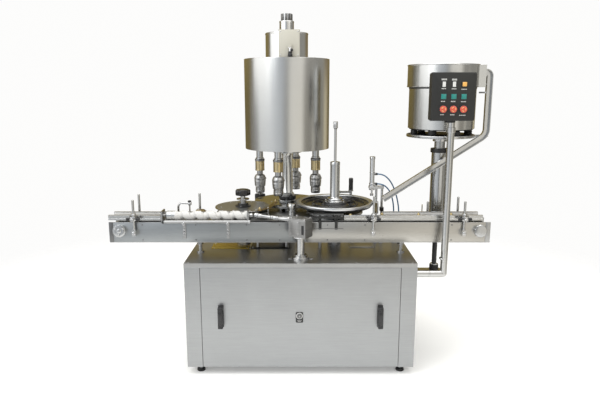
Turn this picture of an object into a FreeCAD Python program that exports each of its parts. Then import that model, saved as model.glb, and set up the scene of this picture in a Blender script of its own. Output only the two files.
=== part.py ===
import FreeCAD, Part
import math
import os
import re
import Sketcher

# A rotary capping machine: cabinet with its drive, slat conveyor, timing screw, star wheels, a turret of
# four capping heads under a cam drum, a cap dial fed by a bowl feeder through a chute, and a control panel.
# X runs along the conveyor, Y from the operator's side to the back, Z up. The origin is on the floor.

os.makedirs("parts", exist_ok=True)
doc = FreeCAD.newDocument("capping_machine")
sheet = doc.addObject("Spreadsheet::Sheet", "Sizes")
X_AXIS = FreeCAD.Vector(1, 0, 0)
Y_AXIS = FreeCAD.Vector(0, 1, 0)
Z_AXIS = FreeCAD.Vector(0, 0, 1)
UPRIGHT = FreeCAD.Rotation()
ALONG_X = FreeCAD.Rotation(Y_AXIS, 90)
ALONG_Y = FreeCAD.Rotation(X_AXIS, -90)

SIZES = {
    # cabinet and worktop
    "cab_width": 1250, "cab_depth": 900, "foot_height": 45, "cab_top": 619, "work_top": 643,
    "corner_width": 85, "corner_depth": 40, "skin": 6, "floor_plate": 12, "rail_size": 40,
    "top_plate": 8, "top_lip": 4, "cover_gap": 2, "cover_depth": 20, "cover_skin": 3,
    "foot_x": 560, "foot_y": 395, "foot_radius": 22, "foot_stem": 10, "foot_pad": 12,
    "handle_x": 432, "handle_low": 285, "handle_high": 405, "handle_width": 27, "handle_reach": 40,
    "handle_bar": 14, "lock_x": -6, "lock_low": 309, "lock_wide": 40, "lock_tall": 58, "lock_plate": 5,
    "lock_radius": 14,
    "back_box_width": 420, "back_box_height": 320, "back_box_low": 190, "entry_x": 420, "air_entry_z": 150,
    "air_entry": 10, "mains_entry": 16,
    # conveyor
    "conv_left": 1065, "conv_right": 1057, "conv_y": -227, "conv_width": 120, "conv_low": 714,
    "conv_high": 830, "plate_wall": 5, "chain_top": 835, "chain_thick": 5, "chain_width": 82,
    "chain_radius": 52, "end_inset": 58, "roller_shaft": 12, "bearing_radius": 36, "bearing_thick": 14,
    "leg_x": 572, "leg_radius": 10, "leg_foot": 22, "fold": 25,
    # guide rails
    "rail_low": 840, "rail_high": 868, "rail_thick": 14, "rail_y": -274,
    "left_rail_end": -778, "black_rail_start": 70, "black_rail_end": 240, "right_rail_end": 1014,
    "rod_radius": 6.5, "clamp_size": 30, "rod_offset": 26, "groove": 2,
    "foot_low": 756, "rod_low": 760, "foot_block": 34, "rod_wide": 22, "wing_reach": 18,
    # timing screw
    "screw_y": -260, "screw_z": 863, "screw_radius": 26, "screw_start": -746, "screw_end": -298,
    "screw_pitch": 72, "screw_shaft": 8, "bottle_radius": 19,
    "bracket_left": -646, "bracket_right": -403, "bracket_low": 737,
    # angle gearbox and cardan shaft
    "gear_post_x": 0, "gear_post_y": -350, "gear_post_radius": 22, "gearbox_low": 768,
    "gearbox_high": 870, "gearbox_length": 110, "gearbox_width": 70, "gearbox_yaw": 35,
    "cardan_z": 851, "cardan_radius": 8, "cardan_ball": 15,
    # turret and star wheels
    "turret_x": -82, "turret_y": 150, "head_pitch": 182, "infeed_x": -340, "outfeed_x": 203,
    "shaft_radius": 20, "rotor_radius": 26, "rotor_shaft": 35, "column_radius": 18, "running": 0.05,
    "boss_high": 700, "boss_wall": 20, "gear_low": 560, "gear_thick": 20, "gear_gap": 0.3,
    "pinion_radius": 60, "star_low": 838, "star_thick": 14, "table_low": 821, "table_thick": 12,
    "table_radius": 205, "turret_disc": 206, "turret_disc_low": 858, "disc_thick": 12, "worm_gap": 1,
    "cover_low": 872, "cover_thick": 5,
    # capping heads: spindle, collar and chuck
    "spindle_radius": 21, "collar_radius": 28, "collar_high": 62, "chuck_length": 140, "chuck_body": 34,
    "chuck_neck": 18.5, "chuck_foot": 27, "pin_radius": 12, "pin_length": 70, "spindle_top": 1440,
    # cam drum and what stands on it
    "drum_radius": 257, "drum_low": 1200, "drum_high": 1730, "drum_wall": 6, "drum_roof": 8,
    "rim_share": 0.25, "roller_share": 0.85, "roller_radius": 18, "roller_drop": 40,
    "ring_above": 28, "ring_below": 66, "ring_thick": 12, "hub_high": 70,
    "carrier_low": 1214, "carrier_thick": 20, "cap_radius": 127,
    "cap_high": 1880, "mast_radius": 43, "mast_high": 1950, "ribbed_radius": 32, "top_high": 1992,
    "box_wide": 118, "box_deep": 108, "box_tall": 150, "box_x": -63,
    # cap dial with its adjuster, and the lever post beside it
    "dial_radius": 227, "dial_low": 876, "dial_high": 906, "dial_rim": 12, "adjuster_radius": 28,
    "adjuster_high": 1139, "adjuster_rod": 7.5, "adjuster_top": 1334, "adjuster_knob": 12.5,
    "lever_x": 318, "lever_y": 160, "lever_low": 931, "lever_high": 1007, "lever_pin": 8,
    # hand knob on the infeed star
    "knob_radius": 45, "knob_low": 941, "knob_high": 979, "knob_flange": 36, "knob_flange_low": 917,
    "knob_block": 30,
    # bowl feeder and chute
    "bowl_x": 812, "bowl_y": -50, "arm_low": 440, "arm_high": 476, "arm_width": 80, "jack_radius": 13.5,
    "column_low": 715, "column_high": 1216, "column_outer": 44, "tube_radius": 31, "tube_low": 760,
    "plate_radius": 192, "plate_low": 1285, "plate_high": 1300, "mount_radius": 20, "bowl_low": 1334,
    "bowl_drum": 187, "bowl_mid": 1566, "bowl_ring": 199, "bowl_high": 1687, "bowl_wall": 4, "bowl_hub": 110,
    "outlet_x": 1027, "chute_y": -120, "chute_wide": 34, "chute_deep": 24, "chute_wall": 4,
    "chute_x": 1054, "chute_top": 1650, "chute_bend": 1300, "chute_end": 480,
    "bend_upper": 24, "bend_lower": 60,
    # control post and panel
    "post_x": 792, "post_y": -345, "post_z": 552, "post_radius": 19, "post_bore": 15, "panel_x": 784,
    "panel_wide": 226, "panel_low": 1394, "panel_high": 1638, "panel_front": -390, "panel_deep": 60,
    "panel_hollow": 26,
    "key_pitch": 52, "top_row": 1579, "mid_row": 1517, "low_row": 1453, "key_size": 26, "key_gap": 0.6,
    "key_proud": 7, "key_socket": 14, "stop_radius": 17.5, "stop_proud": 15, "stop_stem": 8,
    "rocker_wide": 16, "rocker_tall": 26,
    # air cylinder at the chute's foot
    "air_x": 425, "air_y": -30, "air_radius": 14, "air_low": 990, "air_high": 1166, "air_rod": 5,
    "stand_x": 452, "stand_pitch": 34, "stand_radius": 7, "hose_radius": 4, "gland_high": 12,
    "upper_gland_x": 592, "upper_gland_y": -10, "lower_gland_x": 566, "lower_gland_y": -16,
    # drive in the cabinet
    "reducer_size": 150, "reducer_low": 250, "reducer_high": 420,
    "motor_radius": 78, "motor_length": 250, "pinion_shaft": 15,
}


def fill_sheet():
    """Write every driving dimension to the sheet, one row each, with its alias."""
    for row, (alias, value) in enumerate(SIZES.items(), start=1):
        sheet.set("A%d" % row, alias)
        sheet.set("B%d" % row, str(value))
        sheet.setAlias("B%d" % row, alias)
    doc.recompute()


def cell(text):
    """Turn an expression in sheet names, such as 'cab_width / 2', into one the document reads."""
    return re.sub(r"[a-z_]+", lambda word: "Sizes." + word.group() if word.group() in SIZES
                  else word.group(), str(text))


def number(text):
    """The value of such an expression."""
    return float(sheet.evalExpression(cell(text)))


def bind(item, **sizes):
    """Bind properties of an object to expressions in sheet names."""
    for name, text in sizes.items():
        item.setExpression(name, cell(text))
    return item


def place(item, x, y, z, turn=UPRIGHT):
    """Turn an object and bind its base point."""
    item.Placement = FreeCAD.Placement(FreeCAD.Vector(0, 0, 0), turn)
    item.setExpression("Placement.Base.x", cell(x))
    item.setExpression("Placement.Base.y", cell(y))
    item.setExpression("Placement.Base.z", cell(z))
    return item


# ---- Part primitives ----

def block(x, y, z, length, width, height):
    """A box from its low corner."""
    item = bind(doc.addObject("Part::Box", "Block"), Length=length, Width=width, Height=height)
    return place(item, x, y, z)


def rod(radius, height, x, y, z, turn=UPRIGHT):
    """A cylinder that starts at a point and runs up, or along the turned axis."""
    item = bind(doc.addObject("Part::Cylinder", "Rod"), Radius=radius, Height=height)
    return place(item, x, y, z, turn)


def ball(radius, x, y, z):
    return place(bind(doc.addObject("Part::Sphere", "Ball"), Radius=radius), x, y, z)


def fuse(label, *items):
    if len(items) == 1:
        return items[0]
    item = doc.addObject("Part::MultiFuse", "Fuse")
    item.Shapes = list(items)
    item.Label = label
    return item


def cut(label, base, tool):
    item = doc.addObject("Part::Cut", "Cut")
    item.Base = base
    item.Tool = tool
    item.Label = label
    return item


def group(label, *items):
    """Separate pieces of one kind, kept as one node."""
    item = doc.addObject("Part::Compound", "Group")
    item.Links = list(items)
    item.Label = label
    return item


def plain(label, shape, place_at=None):
    """A piece whose shape neither a primitive nor a sketch makes."""
    item = doc.addObject("Part::Feature", "Piece")
    item.Shape = shape
    item.Placement = place_at or FreeCAD.Placement()
    item.Label = label
    return item


# ---- PartDesign bodies ----

def new_body(label, x="0", y="0", z="0", turn=UPRIGHT):
    body = doc.addObject("PartDesign::Body", "Body")
    body.Label = label
    return place(body, x, y, z, turn)


def new_sketch(body, plane, height="0"):
    """A sketch on one of the body's origin planes, raised along the plane's normal."""
    sketch = body.newObject("Sketcher::SketchObject", "Sketch")
    origin = [item for item in body.Origin.OriginFeatures if item.Role == plane][0]
    sketch.AttachmentSupport = [(origin, "")]
    sketch.MapMode = "FlatFace"
    sketch.setExpression("AttachmentOffset.Base.z", cell(height))
    return sketch


def fix_point(sketch, line, end, direction, text):
    """Hold one coordinate of a point at an expression."""
    axis = {"DistanceX": -2, "DistanceY": -1}[direction]
    if abs(number(text)) < 1e-9:
        sketch.addConstraint(Sketcher.Constraint("PointOnObject", line, end, axis))
        return
    mark = sketch.addConstraint(Sketcher.Constraint(direction, -1, 1, line, end, number(text)))
    sketch.setExpression("Constraints[%d]" % mark, cell(text))


def outline(sketch, points):
    """A closed outline of straight lines through points given as pairs of expressions."""
    spots = [FreeCAD.Vector(number(x), number(y), 0) for x, y in points]
    lines = []
    for index, spot in enumerate(spots):
        lines.append(sketch.addGeometry(Part.LineSegment(spot, spots[(index + 1) % len(spots)])))
    for index, line in enumerate(lines):
        follower = lines[(index + 1) % len(lines)]
        sketch.addConstraint(Sketcher.Constraint("Coincident", line, 2, follower, 1))
    for line, (x, y) in zip(lines, points):
        fix_point(sketch, line, 1, "DistanceX", x)
        fix_point(sketch, line, 1, "DistanceY", y)


def oblong(sketch, low_x, low_y, high_x, high_y):
    outline(sketch, [(low_x, low_y), (high_x, low_y), (high_x, high_y), (low_x, high_y)])


def disc(sketch, radius, x="0", y="0"):
    """A circle held by its centre and radius."""
    centre = FreeCAD.Vector(number(x), number(y), 0)
    ring = sketch.addGeometry(Part.Circle(centre, Z_AXIS, number(radius)))
    fix_point(sketch, ring, 3, "DistanceX", x)
    fix_point(sketch, ring, 3, "DistanceY", y)
    mark = sketch.addConstraint(Sketcher.Constraint("Radius", ring, number(radius)))
    sketch.setExpression("Constraints[%d]" % mark, cell(radius))


def pad(body, sketch, length):
    item = body.newObject("PartDesign::Pad", "Pad")
    item.Profile = sketch
    bind(item, Length=length)
    return item


def pocket(body, sketch, length, reverse=False):
    """A pocket that cuts against the sketch's normal, or along it when reversed."""
    item = body.newObject("PartDesign::Pocket", "Pocket")
    item.Profile = sketch
    item.Reversed = reverse
    bind(item, Length=length)
    return item


def around(body, feature, count):
    """Repeat a feature round the body's Z axis."""
    item = body.newObject("PartDesign::PolarPattern", "Round")
    item.Originals = [feature]
    origin = [part for part in body.Origin.OriginFeatures if part.Role == "Z_Axis"][0]
    item.Axis = (origin, [""])
    item.Angle = 360
    item.Occurrences = count
    body.Tip = item
    return item


def turned(label, profile, x="0", y="0", z="0", turn=UPRIGHT):
    """A body turned round its own Z axis from an outline of (radius, height) pairs."""
    body = new_body(label, x, y, z, turn)
    sketch = new_sketch(body, "XZ_Plane")
    outline(sketch, profile)
    item = body.newObject("PartDesign::Revolution", "Turned")
    item.Profile = sketch
    item.ReferenceAxis = (sketch, ["V_Axis"])
    item.Angle = 360
    doc.recompute()
    return body


def stack(inner, *steps):
    """An outline for a turned piece: steps of (radius, low, high) from the bottom up round a bore."""
    points = [(inner, steps[0][1])]
    for radius, low, high in steps:
        points += [(radius, low), (radius, high)]
    points.append((inner, steps[-1][2]))
    return points


fill_sheet()

# Places worked out from the driving dimensions.
REACH = "(turret_y - conv_y)"
INFEED_PITCH = "(((infeed_x - turret_x)^2 + %s^2 - head_pitch^2) / (2 * (head_pitch + %s)))" % (REACH, REACH)
OUTFEED_PITCH = INFEED_PITCH.replace("infeed_x", "outfeed_x")
INFEED_Y = "(conv_y + %s)" % INFEED_PITCH
OUTFEED_Y = "(conv_y + %s)" % OUTFEED_PITCH
DRUM_WALL = "(drum_radius - drum_wall)"
HEAD_OUTSIDE = "(head_pitch + spindle_radius)"
CARRIER = "(%s + rim_share * (%s - %s))" % (HEAD_OUTSIDE, DRUM_WALL, HEAD_OUTSIDE)
ROLLER_REACH = "(%s + roller_share * (%s - %s) - head_pitch)" % (HEAD_OUTSIDE, DRUM_WALL, HEAD_OUTSIDE)
CAM_RING = "((%s + %s) / 2)" % (HEAD_OUTSIDE, DRUM_WALL)
COVER = "(%s - screw_y - screw_radius - worm_gap)" % INFEED_Y
INFEED_GEAR = "((head_pitch + %s) / 2)" % INFEED_PITCH
OUTFEED_GEAR = "((head_pitch + %s) / 2)" % OUTFEED_PITCH
ROLLER_Z = "(chain_top - chain_radius)"
DRIVE_X = "(conv_right - end_inset)"
IDLER_X = "(-conv_left + end_inset)"
CONV_FRONT = "(conv_y - conv_width / 2)"
CONV_BACK = "(conv_y + conv_width / 2)"
PINION_REACH = "(%s + pinion_radius + gear_gap)" % INFEED_GEAR
PINION_X = "(turret_x + %s * cos(60))" % PINION_REACH
PINION_Y = "(turret_y + %s * sin(60))" % PINION_REACH


# ---- cabinet ----

def cabinet():
    """Folded shell open at the front between two corner posts, with floor plate and top rails."""
    body = new_body("cabinet")
    walls = new_sketch(body, "XY_Plane", "foot_height")
    outline(walls, [
        ("-cab_width / 2", "-cab_depth / 2 + corner_depth"), ("-cab_width / 2", "cab_depth / 2"),
        ("cab_width / 2", "cab_depth / 2"), ("cab_width / 2", "-cab_depth / 2 + corner_depth"),
        ("cab_width / 2 - skin", "-cab_depth / 2 + corner_depth"),
        ("cab_width / 2 - skin", "cab_depth / 2 - skin"),
        ("-cab_width / 2 + skin", "cab_depth / 2 - skin"),
        ("-cab_width / 2 + skin", "-cab_depth / 2 + corner_depth")])
    pad(body, walls, "cab_top - foot_height")
    floor = new_sketch(body, "XY_Plane", "foot_height")
    oblong(floor, "-cab_width / 2", "-cab_depth / 2 + corner_depth", "cab_width / 2", "cab_depth / 2")
    pad(body, floor, "floor_plate")
    for side in ("-", ""):
        corner = new_sketch(body, "XY_Plane", "foot_height")
        oblong(corner, side + "(cab_width / 2 - corner_width)", "-cab_depth / 2",
               side + "cab_width / 2", "-cab_depth / 2 + corner_depth")
        pad(body, corner, "cab_top - foot_height")
    for low in ("-cab_depth / 2 + corner_depth", "cab_depth / 2 - skin - rail_size"):
        rail = new_sketch(body, "XY_Plane", "work_top - top_plate - rail_size")
        oblong(rail, "-cab_width / 2 + skin", low, "cab_width / 2 - skin", low + " + rail_size")
        pad(body, rail, "rail_size")
    back_box = new_sketch(body, "XY_Plane", "back_box_low")
    oblong(back_box, "-back_box_width / 2", "cab_depth / 2 - skin / 2", "back_box_width / 2",
           "cab_depth / 2 + handle_reach")
    pad(body, back_box, "back_box_height")
    for x, z, radius in (("-entry_x", "air_entry_z", "air_entry"), ("entry_x", "air_entry_z", "mains_entry")):
        hole = new_sketch(body, "XZ_Plane", "skin - cab_depth / 2")
        disc(hole, radius, x, z)
        pocket(body, hole, "skin")
    return body


def worktop():
    """Lipped top plate with three bearing bosses and a socket for the lever post."""
    body = new_body("worktop")
    slab = new_sketch(body, "XY_Plane", "cab_top")
    oblong(slab, "-cab_width / 2", "-cab_depth / 2", "cab_width / 2", "cab_depth / 2")
    pad(body, slab, "work_top - cab_top")
    hollow = new_sketch(body, "XY_Plane", "cab_top")
    oblong(hollow, "-cab_width / 2 + top_lip", "-cab_depth / 2 + top_lip",
           "cab_width / 2 - top_lip", "cab_depth / 2 - top_lip")
    pocket(body, hollow, "work_top - top_plate - cab_top", reverse=True)
    bosses = [("turret_x", "turret_y", "rotor_shaft", "boss_high"),
              ("infeed_x", INFEED_Y, "shaft_radius", "boss_high"),
              ("outfeed_x", OUTFEED_Y, "shaft_radius", "boss_high"),
              ("lever_x", "lever_y", "lever_pin", "work_top + boss_wall")]
    for x, y, radius, high in bosses:
        boss = new_sketch(body, "XY_Plane", "work_top")
        disc(boss, radius + " + boss_wall", x, y)
        pad(body, boss, high + " - work_top")
    for x, y in (("upper_gland_x", "upper_gland_y"), ("lower_gland_x", "lower_gland_y")):
        gland = new_sketch(body, "XY_Plane", "work_top")
        disc(gland, "hose_radius + 4", x, y)
        pad(body, gland, "gland_high")
    for x, y, radius, high in bosses:
        bore = new_sketch(body, "XY_Plane", "cab_top")
        disc(bore, radius + " + running", x, y)
        pocket(body, bore, high + " - cab_top", reverse=True)
    return body


def levelling_feet():
    """Four feet: rubber-faced pad, jam nut and stem that meets the floor plate."""
    feet = []
    for side in ("-", ""):
        for back in ("-", ""):
            feet.append(turned("foot", stack(
                "0", ("foot_radius", "0", "foot_pad"), ("foot_stem", "foot_pad", "foot_height - foot_pad"),
                ("foot_stem * 1.6", "foot_height - foot_pad", "foot_height")),
                side + "foot_x", back + "foot_y"))
    return group("levelling_feet", *feet)


COVER_LEFT = "-cab_width / 2 + corner_width + cover_gap"
COVER_RIGHT = "cab_width / 2 - corner_width - cover_gap"


def front_cover():
    """Lift-off pan: a flat front with folded edges, hollow behind, bored for the lock."""
    body = new_body("front_cover")
    face = new_sketch(body, "XY_Plane", "foot_height + cover_gap")
    oblong(face, COVER_LEFT, "-cab_depth / 2", COVER_RIGHT, "-cab_depth / 2 + cover_depth")
    pad(body, face, "cab_top - foot_height - 2 * cover_gap")
    pan = new_sketch(body, "XZ_Plane", "cab_depth / 2 - cover_skin")
    oblong(pan, COVER_LEFT + " + cover_depth", "foot_height + cover_gap + cover_depth",
           COVER_RIGHT + " - cover_depth", "cab_top - cover_gap - cover_depth")
    pocket(body, pan, "cover_depth")
    bore = new_sketch(body, "XZ_Plane", "cab_depth / 2")
    disc(bore, "lock_radius + running", "lock_x", "lock_low + lock_tall * 0.68")
    pocket(body, bore, "cover_depth")
    return body


def front_handles():
    """Two upright bridge handles and the lock's escutcheon, bolted to the cover."""
    handles = []
    for side in ("-", ""):
        centre = side + "handle_x"
        grip = block(centre + " - handle_width / 2", "-cab_depth / 2 - handle_reach", "handle_low",
                     "handle_width", "handle_bar", "handle_high - handle_low")
        feet = [block(centre + " - handle_width / 2", "-cab_depth / 2 - handle_reach", low,
                      "handle_width", "handle_reach", "handle_bar * 1.4")
                for low in ("handle_low", "handle_high - handle_bar * 1.4")]
        handles.append(fuse("handle", grip, *feet))
    plate = block("lock_x - lock_wide / 2", "-cab_depth / 2 - lock_plate", "lock_low",
                  "lock_wide", "lock_plate", "lock_tall")
    hole = rod("lock_radius + running", "lock_plate * 3", "lock_x", "-cab_depth / 2 - lock_plate * 2",
               "lock_low + lock_tall * 0.68", ALONG_Y)
    return group("front_handles", cut("escutcheon", plate, hole), *handles)


def front_lock():
    """Key cylinder through the cover with a latch tongue behind it."""
    centre = "lock_low + lock_tall * 0.68"
    barrel = rod("lock_radius", "lock_plate * 2 + cover_depth", "lock_x", "-cab_depth / 2 - lock_plate * 2",
                 centre, ALONG_Y)
    tongue = block("lock_x - 8", "-cab_depth / 2 + cover_depth - 6", centre + " - 45", "16", "5", "60")
    return fuse("front_lock", barrel, tongue)


# ---- conveyor ----

def conveyor_frame():
    """Two folded side plates, cross ties, wear strips, legs and the transfer plate to the turret."""
    length = "conv_left + conv_right"
    pieces = []
    for low, inner in ((CONV_FRONT, CONV_FRONT), (CONV_BACK + " - plate_wall", CONV_BACK + " - fold")):
        side = block("-conv_left", low, "conv_low", length, "plate_wall", "conv_high - conv_low")
        lip = block("-conv_left", inner, "conv_low", length, "fold", "plate_wall * 0.6")
        pieces += [side, lip]
    for x in ("-conv_left + 200", "-leg_x", "0", "leg_x", "conv_right - 200"):
        pieces.append(block(x + " - 15", CONV_FRONT, "conv_low", "30", "conv_width", "plate_wall"))
        pieces.append(block(x + " - 15", CONV_FRONT, "chain_top - chain_thick - 26", "30",
                            "conv_width", "14"))
    for y in ("conv_y - chain_width * 0.35", "conv_y + chain_width * 0.35 - 12"):
        pieces.append(block("-conv_left + 130", y, "chain_top - chain_thick - 12", length + " - 260",
                            "12", "12"))
    for x in ("-leg_x", "leg_x"):
        pieces.append(rod("leg_radius", "conv_low - work_top", x, "conv_y", "work_top"))
        pieces.append(rod("leg_foot", "8", x, "conv_y", "work_top"))
        pieces.append(rod("leg_radius * 1.6", "12", x, "conv_y", "conv_low - 12"))
    body = fuse("frame_blank", transfer_plate(), *pieces)
    bores = [rod("roller_shaft + running", "conv_width * 2", x, "conv_y - conv_width", ROLLER_Z, ALONG_Y)
             for x in (DRIVE_X, IDLER_X)]
    return cut("conveyor_frame", body, fuse("shaft_bores", *bores))


def transfer_plate():
    """Dead plate that bridges the conveyor and the turret table, on three stand-off posts."""
    thick = "(chain_top - table_low - table_thick + 8)"
    low = "chain_top - " + thick
    plate = block("infeed_x - 40", CONV_BACK, low, "outfeed_x - infeed_x + 80", "170", thick)
    posts = [rod("leg_radius", low + " - work_top", x, CONV_BACK + " + 24", "work_top")
             for x in ("infeed_x + 90", "turret_x", "outfeed_x - 90")]
    tools = [rod("table_radius + 1", "60", "turret_x", "turret_y", "table_low - 20"),
             rod("shaft_radius + 34", "60", "infeed_x", INFEED_Y, "table_low - 20"),
             rod("shaft_radius + 34", "60", "outfeed_x", OUTFEED_Y, "table_low - 20")]
    return cut("transfer_plate", fuse("transfer_blank", plate, *posts), fuse("transfer_cuts", *tools))


def conveyor_chain():
    """Flat-top chain as one closed band round the two rollers."""
    body = new_body("conveyor_chain", "0", "conv_y", "0")
    for radius, make in (("chain_radius", pad), ("chain_radius - chain_thick", pocket)):
        sketch = new_sketch(body, "XZ_Plane", "-chain_width / 2")
        low, high = ROLLER_Z + " - " + radius, ROLLER_Z + " + " + radius
        left, right = number(IDLER_X), number(DRIVE_X)
        size, middle = number(radius), number(ROLLER_Z)
        top = sketch.addGeometry(Part.LineSegment(
            FreeCAD.Vector(left, middle + size, 0), FreeCAD.Vector(right, middle + size, 0)))
        bottom = sketch.addGeometry(Part.LineSegment(
            FreeCAD.Vector(right, middle - size, 0), FreeCAD.Vector(left, middle - size, 0)))
        ends = []
        for centre, start in ((right, -90), (left, 90)):
            circle = Part.Circle(FreeCAD.Vector(centre, middle, 0), Z_AXIS, size)
            arc = Part.ArcOfCircle(circle, math.radians(start), math.radians(start + 180))
            ends.append(sketch.addGeometry(arc))
        for first, last in (((top, 2), (ends[0], 2)), ((bottom, 1), (ends[0], 1)),
                            ((bottom, 2), (ends[1], 2)), ((top, 1), (ends[1], 1))):
            sketch.addConstraint(Sketcher.Constraint("Tangent", first[0], first[1], last[0], last[1]))
        fix_point(sketch, top, 1, "DistanceX", IDLER_X)
        fix_point(sketch, top, 1, "DistanceY", high)
        fix_point(sketch, top, 2, "DistanceX", DRIVE_X)
        sketch.addConstraint(Sketcher.Constraint("Horizontal", top))
        fix_point(sketch, bottom, 1, "DistanceY", low)
        if make is pad:
            pad(body, sketch, "chain_width")
        else:
            pocket(body, sketch, "chain_width", reverse=True)
    return body


def roller(label, x):
    """Shaft with two toothed wheels that carry the chain round the end."""
    wheel = "chain_radius - chain_thick - 0.4"
    half = "(conv_width / 2 + bearing_thick)"
    pieces = [rod("roller_shaft", half + " * 2", x, "conv_y - " + half, ROLLER_Z, ALONG_Y)]
    for shift in ("-chain_width * 0.3", "chain_width * 0.3 - 16"):
        pieces.append(rod(wheel, "16", x, "conv_y + " + shift, ROLLER_Z, ALONG_Y))
    return fuse(label, *pieces)


def conveyor_bearings():
    """Four round flange bearings, one at each end of each roller shaft."""
    pieces = []
    for x in (IDLER_X, DRIVE_X):
        for low in (CONV_FRONT + " - bearing_thick", CONV_BACK):
            ring = rod("bearing_radius", "bearing_thick", x, low, ROLLER_Z, ALONG_Y)
            hole = rod("roller_shaft + running", "bearing_thick", x, low, ROLLER_Z, ALONG_Y)
            pieces.append(cut("bearing", ring, hole))
    return group("conveyor_bearings", *pieces)


ROD_FRONT = "(conv_y - conv_width / 2 - rod_offset / 2)"
ROD_BACK = "(conv_y + conv_width / 2 + rod_offset / 2)"
RODS = [("-922", ROD_FRONT, "957"), ("404", ROD_FRONT, "978"), ("905", ROD_FRONT, "949"),
        ("-930", ROD_BACK, "962"), ("-580", ROD_BACK, "968"), ("734", ROD_BACK, "918"),
        ("908", ROD_BACK, "946")]


def guide_posts():
    """Vertical rods in foot blocks on the side plates, with the fixed rear guide rails."""
    pieces = []
    for x, y, high in RODS:
        pieces.append(rod("rod_radius", high + " - rod_low", x, y, "rod_low"))
        pieces.append(block(x + " - rod_wide / 2", y + " - rod_offset / 2", "foot_low", "rod_wide",
                            "rod_offset", "foot_block"))
    for x in [x for x, y, high in RODS if y == ROD_BACK]:
        pieces.append(block(x + " - rod_wide / 2", "conv_y + chain_width / 2 + 2", "rail_high - 22",
                            "rod_wide", "rod_offset + 14", "12"))
    for low, high in (("-conv_left", "-540"), ("470", "right_rail_end")):
        pieces.append(block(low, "conv_y + chain_width / 2 - 6", "rail_low + 4", high + " - (" + low + ")",
                            "10", "rail_high - rail_low - 4"))
    return fuse("guide_posts", *pieces)


def guide_rail(label, low, high, rods):
    """A grooved rail with a cross clamp for each rod it slides on."""
    body = new_body("rail_bar", low, "rail_y", "0")
    profile = new_sketch(body, "YZ_Plane")
    half, tall = "rail_thick / 2", "rail_high - rail_low"
    outline(profile, [
        ("-" + half, "rail_low"), (half, "rail_low"), (half, "rail_high"), ("-" + half, "rail_high"),
        ("-" + half, "rail_low + (" + tall + ") * 0.72"),
        ("-" + half + " + groove", "rail_low + (" + tall + ") * 0.66"),
        ("-" + half + " + groove", "rail_low + (" + tall + ") * 0.34"),
        ("-" + half, "rail_low + (" + tall + ") * 0.28")])
    pad(body, profile, high + " - (" + low + ")")
    pieces = [body]
    for x in rods:
        pieces.append(block(x + " - clamp_size / 2", ROD_FRONT + " - clamp_size / 2", "rail_low + 4",
                            "clamp_size", "rail_y - rail_thick / 2 - " + ROD_FRONT + " + clamp_size / 2",
                            "rail_high - rail_low - 8"))
        pieces.append(rod("4", "wing_reach", x, ROD_FRONT + " - clamp_size / 2 - wing_reach", "rail_low + 14",
                          ALONG_Y))
        pieces.append(block(x + " - 12", ROD_FRONT + " - clamp_size / 2 - wing_reach", "rail_low + 8", "24",
                            "5", "12"))
    holes = [rod("rod_radius + running", "80", x, ROD_FRONT, "rail_low - 20") for x in rods]
    return cut(label, fuse("rail_blank", *pieces), fuse("rod_holes", *holes))


def black_guide_rail():
    """Short double-bar rail at the outlet of the discharge star, on a foot to the side plate."""
    length = "black_rail_end - black_rail_start"
    bars = [block("black_rail_start", "rail_y - 5", low, length, "10", "12")
            for low in ("rail_low + 8", "rail_low + 28")]
    webs = [block(x, "rail_y - 4", "rail_low - 10", "16", "8", "45")
            for x in ("black_rail_start + 30", "black_rail_end - 50")]
    feet = [block(x, CONV_FRONT + " - 6", "rail_low - 50", "16", "6", "40")
            for x in ("black_rail_start + 30", "black_rail_end - 50")]
    ledges = [block(x, CONV_FRONT + " - 6", "rail_low - 10", "16", "24", "8")
              for x in ("black_rail_start + 30", "black_rail_end - 50")]
    return fuse("black_guide_rail", *bars, *webs, *feet, *ledges)


# ---- timing screw and its drive ----

def timing_screw():
    """Plastic worm with a helical bottle pocket, on a steel shaft."""
    length = "screw_end - screw_start"
    worm = rod("screw_radius", length, "screw_start", "screw_y", "screw_z", ALONG_X)
    path = doc.addObject("Part::Helix", "PocketPath")
    bind(path, Pitch="screw_pitch", Height=length + " - 30", Radius="screw_radius + 9")
    section = doc.addObject("Part::Circle", "PocketSection")
    bind(section, Radius="bottle_radius")
    section.Placement = FreeCAD.Placement(FreeCAD.Vector(0, 0, 0), FreeCAD.Rotation(X_AXIS, 90))
    section.setExpression("Placement.Base.x", cell("screw_radius + 9"))
    doc.recompute()
    groove = doc.addObject("Part::Sweep", "Pocket")
    groove.Sections = [section]
    groove.Spine = (path, ["Edge%d" % (index + 1) for index in range(len(path.Shape.Edges))])
    groove.Solid = True
    groove.Frenet = True
    place(groove, "screw_start + 44", "screw_y", "screw_z", ALONG_X)
    shaft = rod("screw_shaft", length + " + 58", "screw_start - 28", "screw_y", "screw_z", ALONG_X)
    fork = rod("screw_shaft + 4", "16", "screw_end + 14", "screw_y", "screw_z", ALONG_X)
    return fuse("timing_screw", cut("worm", worm, groove), shaft, fork)


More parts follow.
